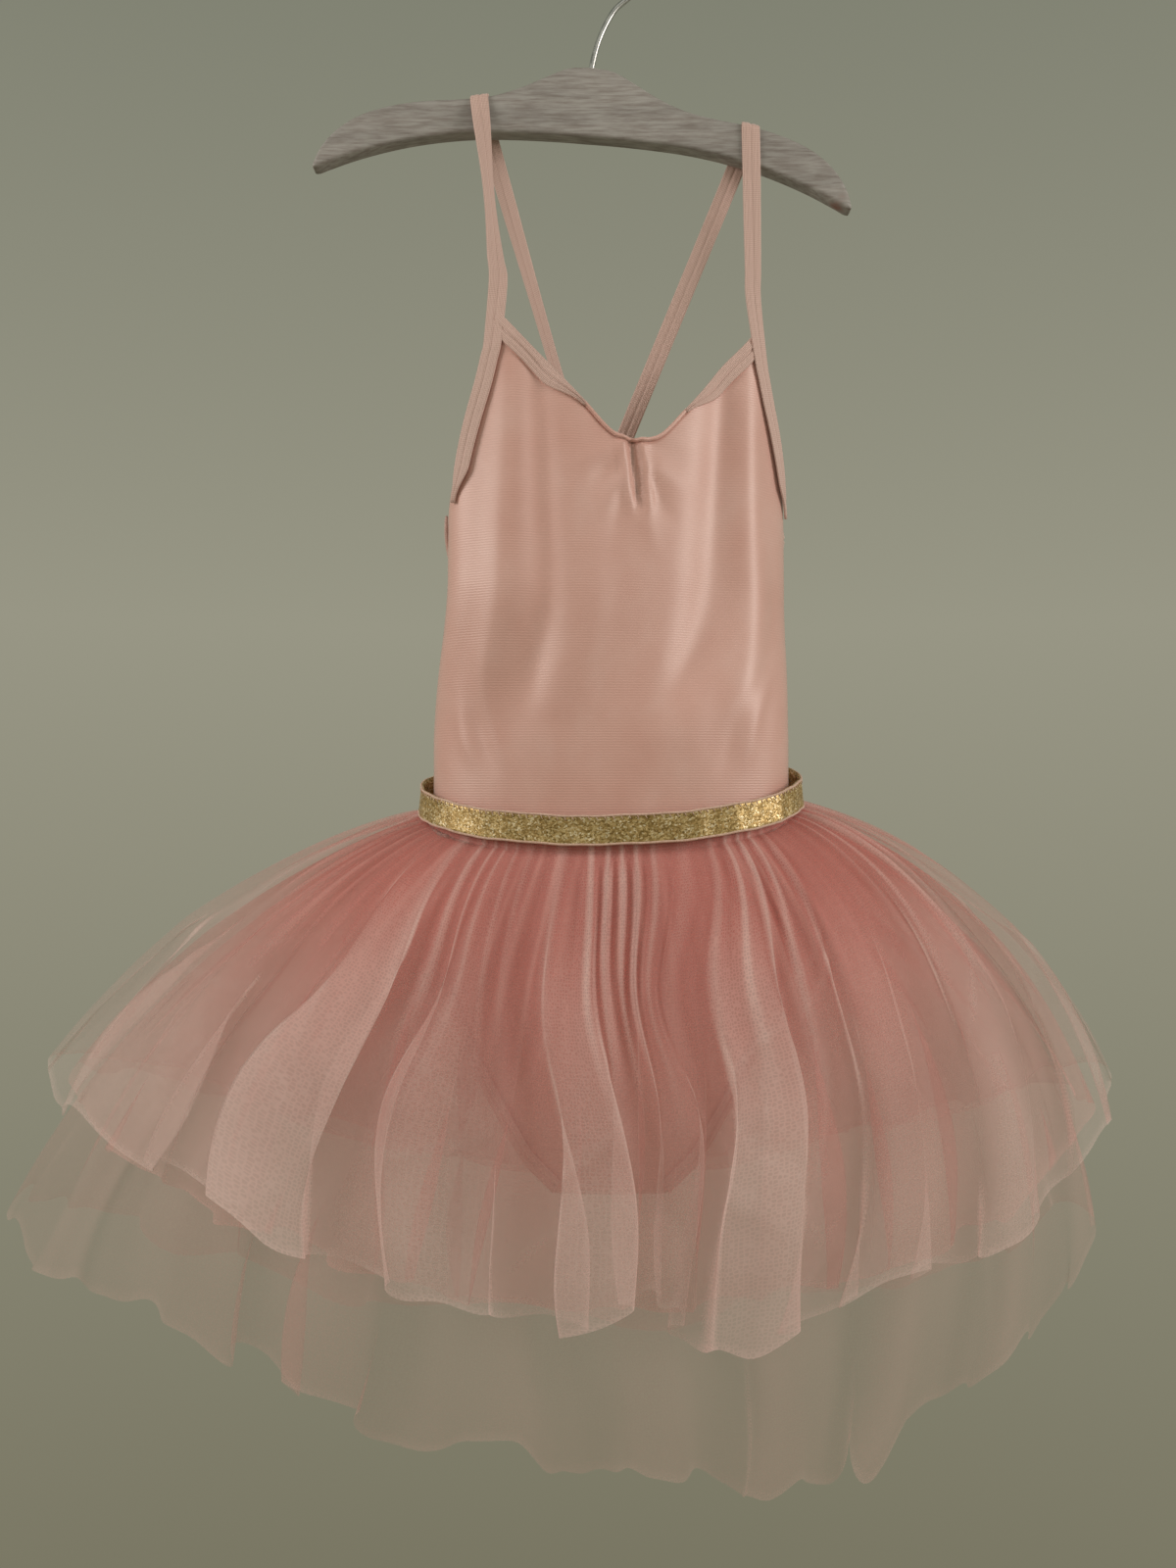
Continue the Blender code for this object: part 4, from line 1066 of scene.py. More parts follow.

# %% [markdown]
# ## Gathered tulle
#
# The skirt is three layers of soft nylon tulle. Each is a long straight strip, nearly three times
# as long as the waist, drawn up on a thread and caught under the band. Close to the band the fullness
# stands in many small gathers. Further down these join into large rounded folds, wide at the
# crest and narrow at the neck, so that a fold overlaps itself. The lowest layer is the longest.
# Each layer is one fine sheet. Its folds follow the solids, and the small gathers, ripples and the
# wavy hem are added along them. Where cloth turns over itself, two thicknesses show as one
# denser line, and that line is painted paler, a painted highlight. Crests, ridges and crisp creases
# are painted paler too, and the tint near the band deeper, as painted shade.

# %% Tulle
FOLDS = 16
COLUMNS_PER_FOLD = 6
COLUMNS = FOLDS * COLUMNS_PER_FOLD
TUCK = 0.009
FULL_LENGTH = 0.336
DRIFT_POWER = 0.8
OPENING_LENGTH = 0.14
OPENING_POWER = 0.75
FOLDING_LENGTH = 0.20
FOLDING_POWER = 1.1
TOP_FOLDS = (
    ("hem_degrees", "bulge", "neck", "rise", "length"),
    (-172, 0.34, 0.26, 0.70, 0.238),
    (-147, 0.36, 0.24, 0.85, 0.246),
    (-119, 0.33, 0.26, 0.75, 0.240),
    (-90, 0.34, 0.28, 0.60, 0.252),
    (-61, 0.36, 0.24, 0.85, 0.249),
    (-36, 0.37, 0.20, 1.00, 0.244),
    (-17, 0.36, 0.20, 0.80, 0.233),
    (-1, 0.38, 0.19, 0.95, 0.229),
    (8, 0.30, 0.24, 0.45, 0.224),
    (15.5, 0.38, 0.20, 1.00, 0.241),
    (28, 0.36, 0.20, 0.75, 0.234),
    (44, 0.36, 0.20, 0.90, 0.239),
    (67, 0.36, 0.26, 0.80, 0.236),
    (96, 0.34, 0.28, 0.65, 0.228),
    (124, 0.35, 0.25, 0.80, 0.240),
    (153, 0.36, 0.24, 0.85, 0.236),
)
MIDDLE_FOLDS = (
    ("hem_degrees", "bulge", "neck", "rise", "length"),
    (-166, 0.35, 0.25, 0.80, 0.242),
    (-141, 0.34, 0.26, 0.70, 0.236),
    (-113, 0.36, 0.24, 0.85, 0.244),
    (-84, 0.34, 0.27, 0.70, 0.249),
    (-56, 0.36, 0.24, 0.90, 0.244),
    (-39, 0.34, 0.24, 0.70, 0.238),
    (-24, 0.37, 0.20, 1.00, 0.231),
    (-9, 0.35, 0.22, 0.80, 0.229),
    (4, 0.37, 0.20, 0.95, 0.233),
    (20, 0.36, 0.22, 0.85, 0.230),
    (35, 0.37, 0.20, 1.00, 0.240),
    (52, 0.35, 0.24, 0.80, 0.238),
    (75, 0.36, 0.26, 0.85, 0.234),
    (104, 0.34, 0.27, 0.70, 0.238),
    (131, 0.36, 0.24, 0.85, 0.232),
    (160, 0.35, 0.25, 0.75, 0.240),
)
UNDER_FOLDS = (
    ("hem_degrees", "bulge", "neck", "rise", "length"),
    (-170, 0.36, 0.24, 0.85, 0.322),
    (-145, 0.35, 0.26, 0.75, 0.330),
    (-117, 0.36, 0.24, 0.85, 0.326),
    (-88, 0.35, 0.26, 0.75, 0.335),
    (-62, 0.36, 0.24, 0.90, 0.318),
    (-42, 0.36, 0.24, 0.80, 0.300),
    (-27, 0.37, 0.20, 1.00, 0.309),
    (-11, 0.36, 0.22, 0.80, 0.302),
    (2, 0.36, 0.22, 0.85, 0.314),
    (14, 0.38, 0.20, 1.00, 0.327),
    (29, 0.37, 0.20, 0.95, 0.326),
    (47, 0.36, 0.24, 0.85, 0.316),
    (70, 0.36, 0.25, 0.80, 0.298),
    (99, 0.35, 0.26, 0.80, 0.300),
    (127, 0.36, 0.24, 0.85, 0.318),
    (156, 0.35, 0.25, 0.80, 0.326),
)
LAYER_ROOM = {
    "tulle_under": (0.013, 0.0060, 0.0046),
    "tulle_middle": (0.014, 0.0065, 0.0046),
    "tulle_top": (0.026, 0.0110, 0.0060),
}
LAYER_RAISE = {
    "tulle_under": (0.0, 0.0, 0.0),
    "tulle_middle": (0.0185, 0.0100, 0.0080),
    "tulle_top": (0.0385, 0.0205, 0.0160),
}
SIDE_SLOPE_LEFT = (66, 26)
SIDE_SLOPE_RIGHT = (66, -2)
FRONT_SLOPE = (13, 1)
BACK_SLOPE = (6, 0)

# %% Base of the skirt


def ring_angles():
    """Column angles round the waist, from the middle of the back."""
    return -math.pi + 2 * math.pi * (np.arange(COLUMNS) + 0.5) / COLUMNS


def by_azimuth(values, angle):
    """Blends a front, a side and a back value round the skirt."""
    front, side, back = values
    ahead = np.cos(angle) ** 2
    ends = np.where(np.cos(angle) >= 0, front, back)
    return ends * ahead + side * (1 - ahead)


def reach_and_drop(slope, length):
    """How far out and down a skirt of that slope has come after a length of cloth."""
    start, end = np.radians(slope[0]), np.radians(slope[1])
    rate = (end - start) / FULL_LENGTH
    lean = start + rate * length
    out = (math.cos(start) - np.cos(lean)) / rate
    down = (np.sin(lean) - math.sin(start)) / rate
    return out, down


def skirt_base(angle, length):
    """The surface that the layers are raised from: its point at an angle and a length of cloth."""
    below = np.maximum(length - TUCK, 0.0)
    left_out, left_down = reach_and_drop(SIDE_SLOPE_LEFT, below)
    right_out, right_down = reach_and_drop(SIDE_SLOPE_RIGHT, below)
    front_out, front_down = reach_and_drop(FRONT_SLOPE, below)
    back_out, back_down = reach_and_drop(BACK_SLOPE, below)
    to_right = np.sin(angle) > 0
    side_out = np.where(to_right, right_out, left_out)
    side_down = np.where(to_right, right_down, left_down)
    end_out = np.where(np.cos(angle) >= 0, front_out, back_out)
    ahead = np.cos(angle) ** 2
    end_down = np.where(np.cos(angle) >= 0, front_down, back_down)
    down = end_down * ahead + side_down * (1 - ahead)
    waist = waist_ring(angle, 0.0)
    level = waist_plane(waist[..., 0], waist[..., 1]) - BAND_HEIGHT + TUCK - BELOW_BAND
    x = waist[..., 0] + side_out * np.sin(angle)
    y = waist[..., 1] - end_out * np.cos(angle)
    z = level - np.minimum(length, TUCK) - down
    return np.stack([x, y, z], axis=-1)


def base_normal(angle, length):
    """Unit normal of the skirt's base, pointing away from the body."""
    turn, step = 1e-3, 5e-4
    round_it = skirt_base(angle + turn, length) - skirt_base(angle - turn, length)
    down = skirt_base(angle, length + step) - skirt_base(angle, np.maximum(length - step, 0))
    normal = np.cross(down, round_it)
    return normal / np.linalg.norm(normal, axis=-1, keepdims=True)


def raise_direction(angle, length):
    """The way layers are stacked on the base, lengthened where it bends so that they stay apart."""
    normal = base_normal(angle, length)
    below = base_normal(angle, length + 0.001)
    return normal / (normal * below).sum(axis=-1, keepdims=True)


def hem_knots(table):
    """Hem angle, rise and length of each column of a layer."""
    crests = np.radians(column(table, "hem_degrees"))
    before = (crests - np.roll(crests, 1)) % (2 * math.pi)
    after = (np.roll(crests, -1) - crests) % (2 * math.pi)
    bulge, neck = column(table, "bulge"), column(table, "neck")
    rise, length = column(table, "rise"), column(table, "length")
    angles, rises, lengths = [], [], []
    for fold in range(FOLDS):
        behind, ahead = before[fold], after[fold]
        steps = (
            (-0.5 * behind, 0.0),
            (-neck[fold] * behind, 0.40),
            (-bulge[fold] * behind, 0.84),
            (0.0, 1.0),
            (bulge[fold] * ahead, 0.84),
            (neck[fold] * ahead, 0.40),
        )
        for offset, height in steps:
            angles.append(crests[fold] + offset)
            rises.append(height * rise[fold])
            mix = 0.5 - abs(offset) / (behind if offset < 0 else ahead)
            other = length[(fold + (1 if offset > 0 else -1)) % FOLDS]
            lengths.append(other + (length[fold] - other) * (0.5 + mix))
    return np.array(angles), np.array(rises), np.array(lengths)


# %% Helpers for uneven folds
FINE_COLUMNS = COLUMNS * 6
FINE_ROWS = 70


def round_curve(values, count):
    """A smooth closed curve through evenly numbered values."""
    many = len(values)
    place = np.arange(count) * many / count
    i = place.astype(int)
    t = place - i
    a, b, c, d = (values[(i + k) % many] for k in (-1, 0, 1, 2))
    return 0.5 * (2 * b + (c - a) * t + (2 * a - 5 * b + 4 * c - d) * t**2 + (3 * b - a - 3 * c + d) * t**3)


def uneven_wave(columns, waves, seed, spread=0.35):
    """A wave round the skirt whose crests come and go and aren't evenly spaced."""
    chance = np.random.default_rng(seed)
    turn = 2 * math.pi * columns / FINE_COLUMNS
    drift = sum(
        spread * chance.normal() * np.sin(k * turn + chance.uniform(0, 6.28)) for k in range(2, 12)
    )
    swell = 0.75 + 0.35 * sum(
        chance.normal() * 0.35 * np.sin(k * turn + chance.uniform(0, 6.28)) for k in range(3, 14)
    )
    return np.sin(waves * turn + drift) * np.clip(swell, 0.15, 1.4)


def net_creases(columns, run, seed, count):
    """Soft creases where the net was folded in the drawer: how far they stand out, and their crispness."""
    chance = np.random.default_rng(seed)
    u = columns / FINE_COLUMNS
    rise, crisp = 0.0 * u, 0.0 * u
    for _ in range(count):
        u0, v0 = chance.uniform(0, 1), chance.uniform(0.07, 0.26)
        slant, reach = chance.uniform(-1.0, 1.0), chance.uniform(0.03, 0.075)
        width, height = chance.uniform(0.0022, 0.0048), chance.choice([-1, 1]) * chance.uniform(0.5, 1.3)
        off_u = ((u - u0 + 0.5) % 1 - 0.5) * TULLE_CUT_WIDTH
        off_v = run - v0
        along = off_u * math.sin(slant) + off_v * math.cos(slant)
        off = off_u * math.cos(slant) - off_v * math.sin(slant)
        ends = np.exp(-((along / reach) ** 4))
        rise = rise + height * ends * np.exp(-((off / width) ** 2))
        crisp = crisp + ends * np.exp(-((off / (0.35 * width)) ** 2))
    return rise, np.clip(crisp, 0, 1)


def painted_crest_strength(table):
    """How strongly each fold of a layer is made denser and painted paler on its crest, a painted highlight,
    spread over its columns.
    """
    own = [PAINTED_BRIGHT_FOLDS.get(row[0], 0.45) if table is TOP_FOLDS else 0.35 for row in table[1:]]
    spread = np.repeat(own, COLUMNS_PER_FOLD).astype(float)
    return np.clip(round_curve(spread, FINE_COLUMNS), 0, 1.1)


# %% One layer of tulle


def tulle(name, node, table, order, seed):
    """One layer of tulle as a fine sheet, with how dense its net is at each point and how pale it is painted
    there, which holds painted highlights and painted shade.
    """
    columns = np.arange(FINE_COLUMNS)
    chance = np.random.default_rng(seed)
    knot_angles, knot_rises, knot_lengths = hem_knots(table)
    shift = knot_angles - ring_angles()
    aside = [LATERAL.get(row[0], (0, 0, 0)) if table is TOP_FOLDS else (0, 0, 0) for row in table[1:]]
    upper, lower, shorter = (round_curve(np.array(values, float), FINE_COLUMNS) for values in zip(*aside))
    shift = shift - 2 * math.pi * np.round(shift / (2 * math.pi))
    sway = round_curve(np.radians(chance.uniform(-SWAY_DEGREES, SWAY_DEGREES, FOLDS * 2)), FINE_COLUMNS)
    shift = round_curve(shift, FINE_COLUMNS)
    broad = np.convolve(np.tile(shift, 3), np.ones(FINE_COLUMNS // FOLDS) * FOLDS / FINE_COLUMNS, "same")
    broad = broad[FINE_COLUMNS : 2 * FINE_COLUMNS]
    fold_over = shift - broad
    loose = round_curve(chance.uniform(*FOLD_OVER[node], FOLDS), FINE_COLUMNS)
    phase = round_curve(chance.uniform(0, 5.0, FOLDS), FINE_COLUMNS)
    swing = round_curve(chance.uniform(-1, 1, FOLDS), FINE_COLUMNS)
    rises = np.clip(round_curve(knot_rises, FINE_COLUMNS), -0.02, 1.05)
    lengths = round_curve(knot_lengths, FINE_COLUMNS) - 0.001 * shorter
    ragged = HEM_RAGGED[node]
    lengths = lengths + ragged * (
        uneven_wave(columns, 9, seed + 7, 0.8) + 0.6 * uneven_wave(columns, 23, seed, 0.7)
    )
    lengths = lengths + 0.0008 * uneven_wave(columns, 61, seed + 1)
    waist = -math.pi + 2 * math.pi * (columns + 3.0) / FINE_COLUMNS
    small_gathers = uneven_wave(columns, 58, seed + 2, 0.7)
    finer_gathers = uneven_wave(columns, 97, seed + 3, 0.8)
    ripple = uneven_wave(columns, 45, seed + 4, 0.7)
    curl = np.clip(uneven_wave(columns, 7, seed + 5, 0.8), 0, 1)
    crest_highlight_strength = painted_crest_strength(table)
    top = node == "tulle_top"
    shares = np.linspace(0, 1, FINE_ROWS) ** 1.25
    points, ways, net_density_and_painted_light, flat = [], [], [], []
    for share in shares:
        run = share * lengths
        spread = np.clip((run - TUCK) / (lengths - TUCK), 0, 1) ** DRIFT_POWER
        breathe = loose * (1 + 0.55 * np.sin(run / 0.027 + phase) * smooth_step(0.03, 0.09, run))
        bend = np.radians(BEND_DEGREES) * swing * np.sin(run / 0.034 + phase) * smooth_step(0.05, 0.14, run)
        bend = bend + np.radians(upper) * np.exp(-(((run - 0.085) / 0.050) ** 2))
        bend = bend + np.radians(lower) * smooth_step(0.09, 0.20, run)
        angle = waist + (broad + sway + fold_over * breathe) * spread + bend
        opening = np.clip((run - TUCK) / OPENING_LENGTH, 0, 1) ** OPENING_POWER
        folding = np.clip((run - TUCK) / FOLDING_LENGTH, 0, 1) ** FOLDING_POWER
        layer_room = by_azimuth(LAYER_ROOM[node], angle)
        raise_up = by_azimuth(LAYER_RAISE[node], angle) * opening
        room = layer_room * folding
        under_band = smooth_step(0.0, TUCK + 0.016, run)
        fade = 1 - smooth_step(0.050, 0.170, run)
        gather = (GATHER_RISE[0] * small_gathers + GATHER_RISE[1] * finer_gathers) * under_band * fade
        gather = gather * (1 if top else 0.55)
        wave = 0.085 * layer_room * ripple * smooth_step(0.04, 0.16, run)
        crease, crisp = net_creases(columns, run, seed + 6, NET_CREASES)
        below = smooth_step(0.05, 0.12, run)
        wave = wave + (0.05 * layer_room + 0.0003) * crease * below
        wave = wave + 0.20 * layer_room * curl * smooth_step(0.84, 1.0, share) ** 2
        offset = SEAM_GAP + CLOTH / 2 + order * LAYER_STEP + raise_up + room * rises
        offset = offset + np.maximum(gather, -0.0004 - 0.25 * raise_up) + wave
        points.append(skirt_base(angle, run) + raise_direction(angle, run) * offset[:, None])
        ways.append(base_normal(angle, run))
        gathered = 1 - smooth_step(0.0, 0.15, run - TUCK)
        # Fold crests get a denser net and a painted highlight: they are painted paler below
        crest = smooth_step(0.52, 1.05, rises + 0.06 * ripple) * smooth_step(0.03, 0.10, run) * crest_highlight_strength
        ridge = np.clip(small_gathers, 0, 1) ** 2 * fade
        hem_line = (0.34 if share > 0.99 else 0.0) * (1.0 if top else 0.5)
        density = DENSITY[node][0] * gathered + DENSITY[node][1] * (1 - gathered)
        density = density - (DENSITY[node][1] - DENSITY[node][2]) * smooth_step(0.15, 0.30, run)
        density = density * (1 - SIDES_THINNER * smooth_step(0.70, 0.97, np.abs(np.sin(angle))))
        density = density + CREST_DENSITY_AND_PAINTED_HIGHLIGHT[0] * crest + RIDGE_DENSITY_AND_PAINTED_HIGHLIGHT[0] * ridge + CREASE_DENSITY_AND_PAINTED_HIGHLIGHT[0] * crisp * below
        density = density + 0.5 * hem_line
        # A deeper tint near the band is painted shade and bounce light of the gathers
        pale = PALENESS_WITH_PAINTED_SHADE[node][0] + (PALENESS_WITH_PAINTED_SHADE[node][1] - PALENESS_WITH_PAINTED_SHADE[node][0]) * smooth_step(0.05, 0.24, run)
        # Crests, gathers' ridges and crisp creases are painted paler here: painted highlights.
        pale = pale + CREST_DENSITY_AND_PAINTED_HIGHLIGHT[1] * crest + RIDGE_DENSITY_AND_PAINTED_HIGHLIGHT[1] * ridge + CREASE_DENSITY_AND_PAINTED_HIGHLIGHT[1] * crisp * below + hem_line
        net_density_and_painted_light.append(np.stack([density, pale, 0 * pale, 0 * pale + 1], axis=-1))
        flat.append(np.stack([columns / FINE_COLUMNS * TULLE_CUT_WIDTH, -run], axis=-1))
    points, ways = np.array(points), np.array(ways)
    net_density_and_painted_light, flat = np.array(net_density_and_painted_light), np.array(flat)
    round_it = np.roll(points, -1, axis=1) - np.roll(points, 1, axis=1)
    normal = np.cross(np.gradient(points, axis=0), round_it)
    normal /= np.maximum(np.linalg.norm(normal, axis=2, keepdims=True), 1e-12)
    # Where the sheet turns edge on to its outward direction, its net is made denser and painted paler: a
    # painted highlight along the fold's edge
    turned = 1 - smooth_step(0.15, 0.75, np.abs((normal * ways).sum(axis=2)))
    net_density_and_painted_light[..., 0] = np.clip(net_density_and_painted_light[..., 0] + EDGE_DENSITY[node] * turned, 0, 0.95)
    net_density_and_painted_light[..., 1] = np.clip(net_density_and_painted_light[..., 1] + TURNED_EDGE_HIGHLIGHT * turned, 0, 1)
    points, net_density_and_painted_light = (np.concatenate([grid, grid[:, :1]], axis=1) for grid in (points, net_density_and_painted_light))
    flat = np.concatenate([flat, flat[:, :1] + [TULLE_CUT_WIDTH, 0]], axis=1)
    piece = cloth_from_grid(name, points, flat, closed=True, density_and_painted_light=net_density_and_painted_light)
    print(name, "area", round(area_of(piece), 4), "m2, mean length", round(float(lengths.mean()), 3))
    return piece


# %% Make the tulle
TULLE_CUT_WIDTH = 1.30
NET_CREASES = 46
# Folds of the top layer whose crests stand out bright in front, as a painted highlight, by their hem angle
PAINTED_BRIGHT_FOLDS = {-61: 0.3, -36: 1.0, -17: 0.65, -1: 0.75, 8: 0.1, 15.5: 1.0, 28: 0.35, 44: 0.45, 67: 0.3}
# How far aside some folds of the top layer hang, in degrees, high up and low down, and how much
# shorter they are in millimetres
LATERAL = {-36: (3, 1, 20), -17: (3, 0, 12), -1: (0, 3, 0)}
LATERAL |= {8: (-2, 1, 6), 15.5: (-8, -3, -6), 28: (-3, -1, 0)}
# How dense a single thickness looks: in the gathers, half way down and at the hem
DENSITY = {
    "tulle_under": (0.66, 0.26, 0.17),
    "tulle_middle": (0.60, 0.27, 0.22),
    "tulle_top": (0.34, 0.20, 0.19),
}
# How pale a layer is painted, at the band and low down; the deeper tint at the band is painted shade of the
# gathers
PALENESS_WITH_PAINTED_SHADE = {"tulle_under": (0.0, 0.75), "tulle_middle": (0.05, 0.70), "tulle_top": (0.35, 0.95)}
HEM_RAGGED = {"tulle_under": 0.0075, "tulle_middle": 0.0035, "tulle_top": 0.0030}
# How much denser the net is made, and how much paler it is painted as a painted highlight, on a fold's crest,
# a gather's ridge, a crisp crease
CREST_DENSITY_AND_PAINTED_HIGHLIGHT = (0.24, 0.25)
RIDGE_DENSITY_AND_PAINTED_HIGHLIGHT = (0.25, 0.45)
CREASE_DENSITY_AND_PAINTED_HIGHLIGHT = (0.03, 0.12)
# How much thinner the net looks at the sides, and how much paler it is painted where it is seen edge on, a
# painted highlight
SIDES_THINNER = 0.33
TURNED_EDGE_HIGHLIGHT = 0.80
# How high the gathers below the band stand, and how far aside a fold sways and bends
GATHER_RISE = (0.0019, 0.0008)
SWAY_DEGREES = 1.6
BEND_DEGREES = 2.3
# How far the folds of a layer turn over, least and most, and how dense their edges look
FOLD_OVER = {"tulle_under": (0.05, 0.75), "tulle_middle": (0.3, 1.0), "tulle_top": (0.55, 1.15)}
EDGE_DENSITY = {"tulle_under": 0.16, "tulle_middle": 0.28, "tulle_top": 0.42}
tulle_under = tulle("Tulle_under", "tulle_under", UNDER_FOLDS, 0, 11)
tulle_middle = tulle("Tulle_middle", "tulle_middle", MIDDLE_FOLDS, 1, 23)
tulle_top = tulle("Tulle_top", "tulle_top", TOP_FOLDS, 2, 37)

# %% [markdown]
# ## Hanger
#
# The hanger is cut from a flat board 12 mm thick, its edges rounded with a router, and then limed:
# brushed with a thin white that stays in the grain. A zinc plated wire hook is screwed into its
# crown. We draw the outline out to the board's thickness, round it with Bevel, and sweep the wire.

# %% Hanger arm and hook


def hanger_arm():
    """The wooden arm: a filled outline, extruded and bevelled."""
    top = smooth_line(np.column_stack([column(HANGER_HALF, n) for n in ("x", "top")]), 40)
    low = smooth_line(np.column_stack([column(HANGER_HALF, n) for n in ("x", "bottom")]), 36)
    right = np.vstack([top, low[::-1][1:]])
    outline = np.vstack([right, right[1:-1][::-1] * [-1, 1]])
    bpy.ops.object.select_all(action="DESELECT")
    bpy.ops.mesh.primitive_circle_add(vertices=len(outline), radius=0.1, fill_type="NGON")
    arm = bpy.context.object
    arm.name = arm.data.name = "Hanger_arm"
    for vertex, (x, z) in zip(arm.data.vertices, outline):
        vertex.co = hanger_to_row(x, -HANGER_THICKNESS / 2, z)
    bpy.ops.object.mode_set(mode="EDIT")
    bpy.ops.mesh.select_all(action="SELECT")
    bpy.ops.mesh.extrude_region_move(TRANSFORM_OT_translate={"value": (0, HANGER_THICKNESS, 0)})
    bpy.ops.mesh.select_all(action="SELECT")
    bpy.ops.mesh.normals_make_consistent(inside=False)
    bpy.ops.object.mode_set(mode="OBJECT")
    rounding = arm.modifiers.new("rounded edges", "BEVEL")
    rounding.width = HANGER_EDGE_ROUND
    rounding.segments = 5
    rounding.angle_limit = math.radians(50)
    bpy.ops.object.modifier_apply(modifier=rounding.name)
    bpy.ops.object.shade_smooth_by_angle(angle=math.radians(35))
    return arm


hanger_arm_piece = hanger_arm()
turn_radius = HOOK_INNER_RADIUS + HOOK_WIRE / 2
hook_knots = [hanger_to_row(0, 0, -HOOK_DEPTH_IN_WOOD), hanger_to_row(0, 0, 0.001)]
hook_knots += [(-0.0035, 0, -0.060), (0.0045, 0, -0.0445), (0.0145, 0, -0.0350)]
for degrees in (10, -20, -50, -80, -110, -140, -170, -195):
    turn = math.radians(degrees)
    hook_knots.append((turn_radius * math.cos(turn), 0, -HOOK_INNER_RADIUS - turn_radius * math.sin(turn)))
hook = tube("Hanger_hook", smooth_line(hook_knots, 110), HOOK_WIRE / 2, 16)
print("arm", len(hanger_arm_piece.data.polygons), "faces; hook", len(hook.data.polygons))


# %% [markdown]
# ## Finishes
#
# Each finish is named for the real material and built from nodes. Patterns are drawn in metres on
# the flat cloth (UV) or on the object, so that they keep their true size.

# %% Jersey
# Nylon and elastane jersey: fine horizontal courses, a satin sheen on the folds, slightly mottled.
# Real courses are about 0.4 mm apart. They are drawn 1.4 mm apart, so that they show.
jersey, tree, shader = new_material("nylon elastane jersey, warp knitted, pale pink")
flat_place = add_node(tree, "ShaderNodeUVMap")
courses = add_node(
    tree, "ShaderNodeTexWave", {"wave_type": "BANDS", "bands_direction": "Y"},
    Vector=flat_place.outputs[0], Scale=230.0, Distortion=1.4, Detail=1.0, Detail_Scale=2.0,
)
mottle = add_node(tree, "ShaderNodeTexNoise", None, Vector=flat_place.outputs[0], Scale=26.0, Detail=4.0)
tint = ramp(tree, mottle.outputs[0], (0.25, "#dfab9f"), (0.55, "#e5b5aa"), (0.8, "#eabfb6"))
weave = add_node(tree, "ShaderNodeMix", {"data_type": "RGBA", "blend_type": "MULTIPLY"}, n0=0.35, n6=tint)
tree.links.new(ramp(tree, courses.outputs[0], (0.0, "#e2d9d5"), (0.5, "#ffffff")), weave.inputs[7])
tree.links.new(weave.outputs[2], shader.inputs["Base Color"])
bump = add_node(tree, "ShaderNodeBump", None, Height=courses.outputs[0], Strength=0.18, Distance=0.0004)
tree.links.new(bump.outputs[0], shader.inputs["Normal"])
shader.inputs["Roughness"].default_value = 0.46
shader.inputs["Specular IOR Level"].default_value = 0.9
shader.inputs["Sheen Weight"].default_value = 1.0
shader.inputs["Sheen Roughness"].default_value = 0.45
shader.inputs["Sheen Tint"].default_value = linear("#fff4f0")
shader.inputs["Coat Weight"].default_value = 0.5
shader.inputs["Coat Roughness"].default_value = 0.48

# %% Fold-over elastic
# Knitted elastic tape: ribs along its length, painted lighter on their tops and darker in the hollows between
# them, a painted highlight and shade over their bump; the fold line stays darker.
# The ribs are drawn 0.75 mm apart across the tape and 1 mm along it.
elastic, tree, shader = new_material("fold-over elastic, knitted nylon, dusty pink")
flat_place = add_node(tree, "ShaderNodeUVMap")
ribs = add_node(
    tree, "ShaderNodeTexWave", {"wave_type": "BANDS", "bands_direction": "Y"},
    Vector=flat_place.outputs[0], Scale=420.0, Distortion=0.4, Detail=1.0,
)
cross_ribs = add_node(
    tree, "ShaderNodeTexWave", {"wave_type": "BANDS", "bands_direction": "X"},
    Vector=flat_place.outputs[0], Scale=300.0, Distortion=1.0, Detail=1.0,
)
height = add_node(
    tree, "ShaderNodeMath", {"operation": "MULTIPLY_ADD"}, n0=cross_ribs.outputs[0], n1=0.6,
    n2=ribs.outputs[0],
)
# Rib tops are painted lighter and the hollows darker: painted highlight and painted shade.
tint = ramp(tree, height.outputs[0], (0.1, "#c29d93"), (0.9, "#dfbeb5"), (1.0, "#e6cac2"))
tree.links.new(tint, shader.inputs["Base Color"])
bump = add_node(tree, "ShaderNodeBump", None, Height=height.outputs[0], Strength=0.35, Distance=0.0004)
tree.links.new(bump.outputs[0], shader.inputs["Normal"])
shader.inputs["Roughness"].default_value = 0.55
shader.inputs["Sheen Weight"].default_value = 0.25
shader.inputs["Sheen Roughness"].default_value = 0.5

# %% Glitter elastic
# Gold lurex elastic: thousands of flat metal flakes, each at its own tilt, between pale edges; each flake is
# painted its own brightness, from dark bronze to near white, as painted glints.
# Real flakes are about 0.3 mm wide. They are drawn 0.8 mm wide, so that they show.
glitter, tree, shader = new_material("gold lurex glitter elastic")
flat_place = add_node(tree, "ShaderNodeUVMap")
flakes = add_node(
    tree, "ShaderNodeTexVoronoi", {"feature": "F1"}, Vector=flat_place.outputs[0], Scale=1250.0,
)
larger = add_node(tree, "ShaderNodeTexNoise", None, Vector=flat_place.outputs[0], Scale=90.0, Detail=3.0)
pick = add_node(tree, "ShaderNodeSeparateColor", None, n0=flakes.outputs["Color"])
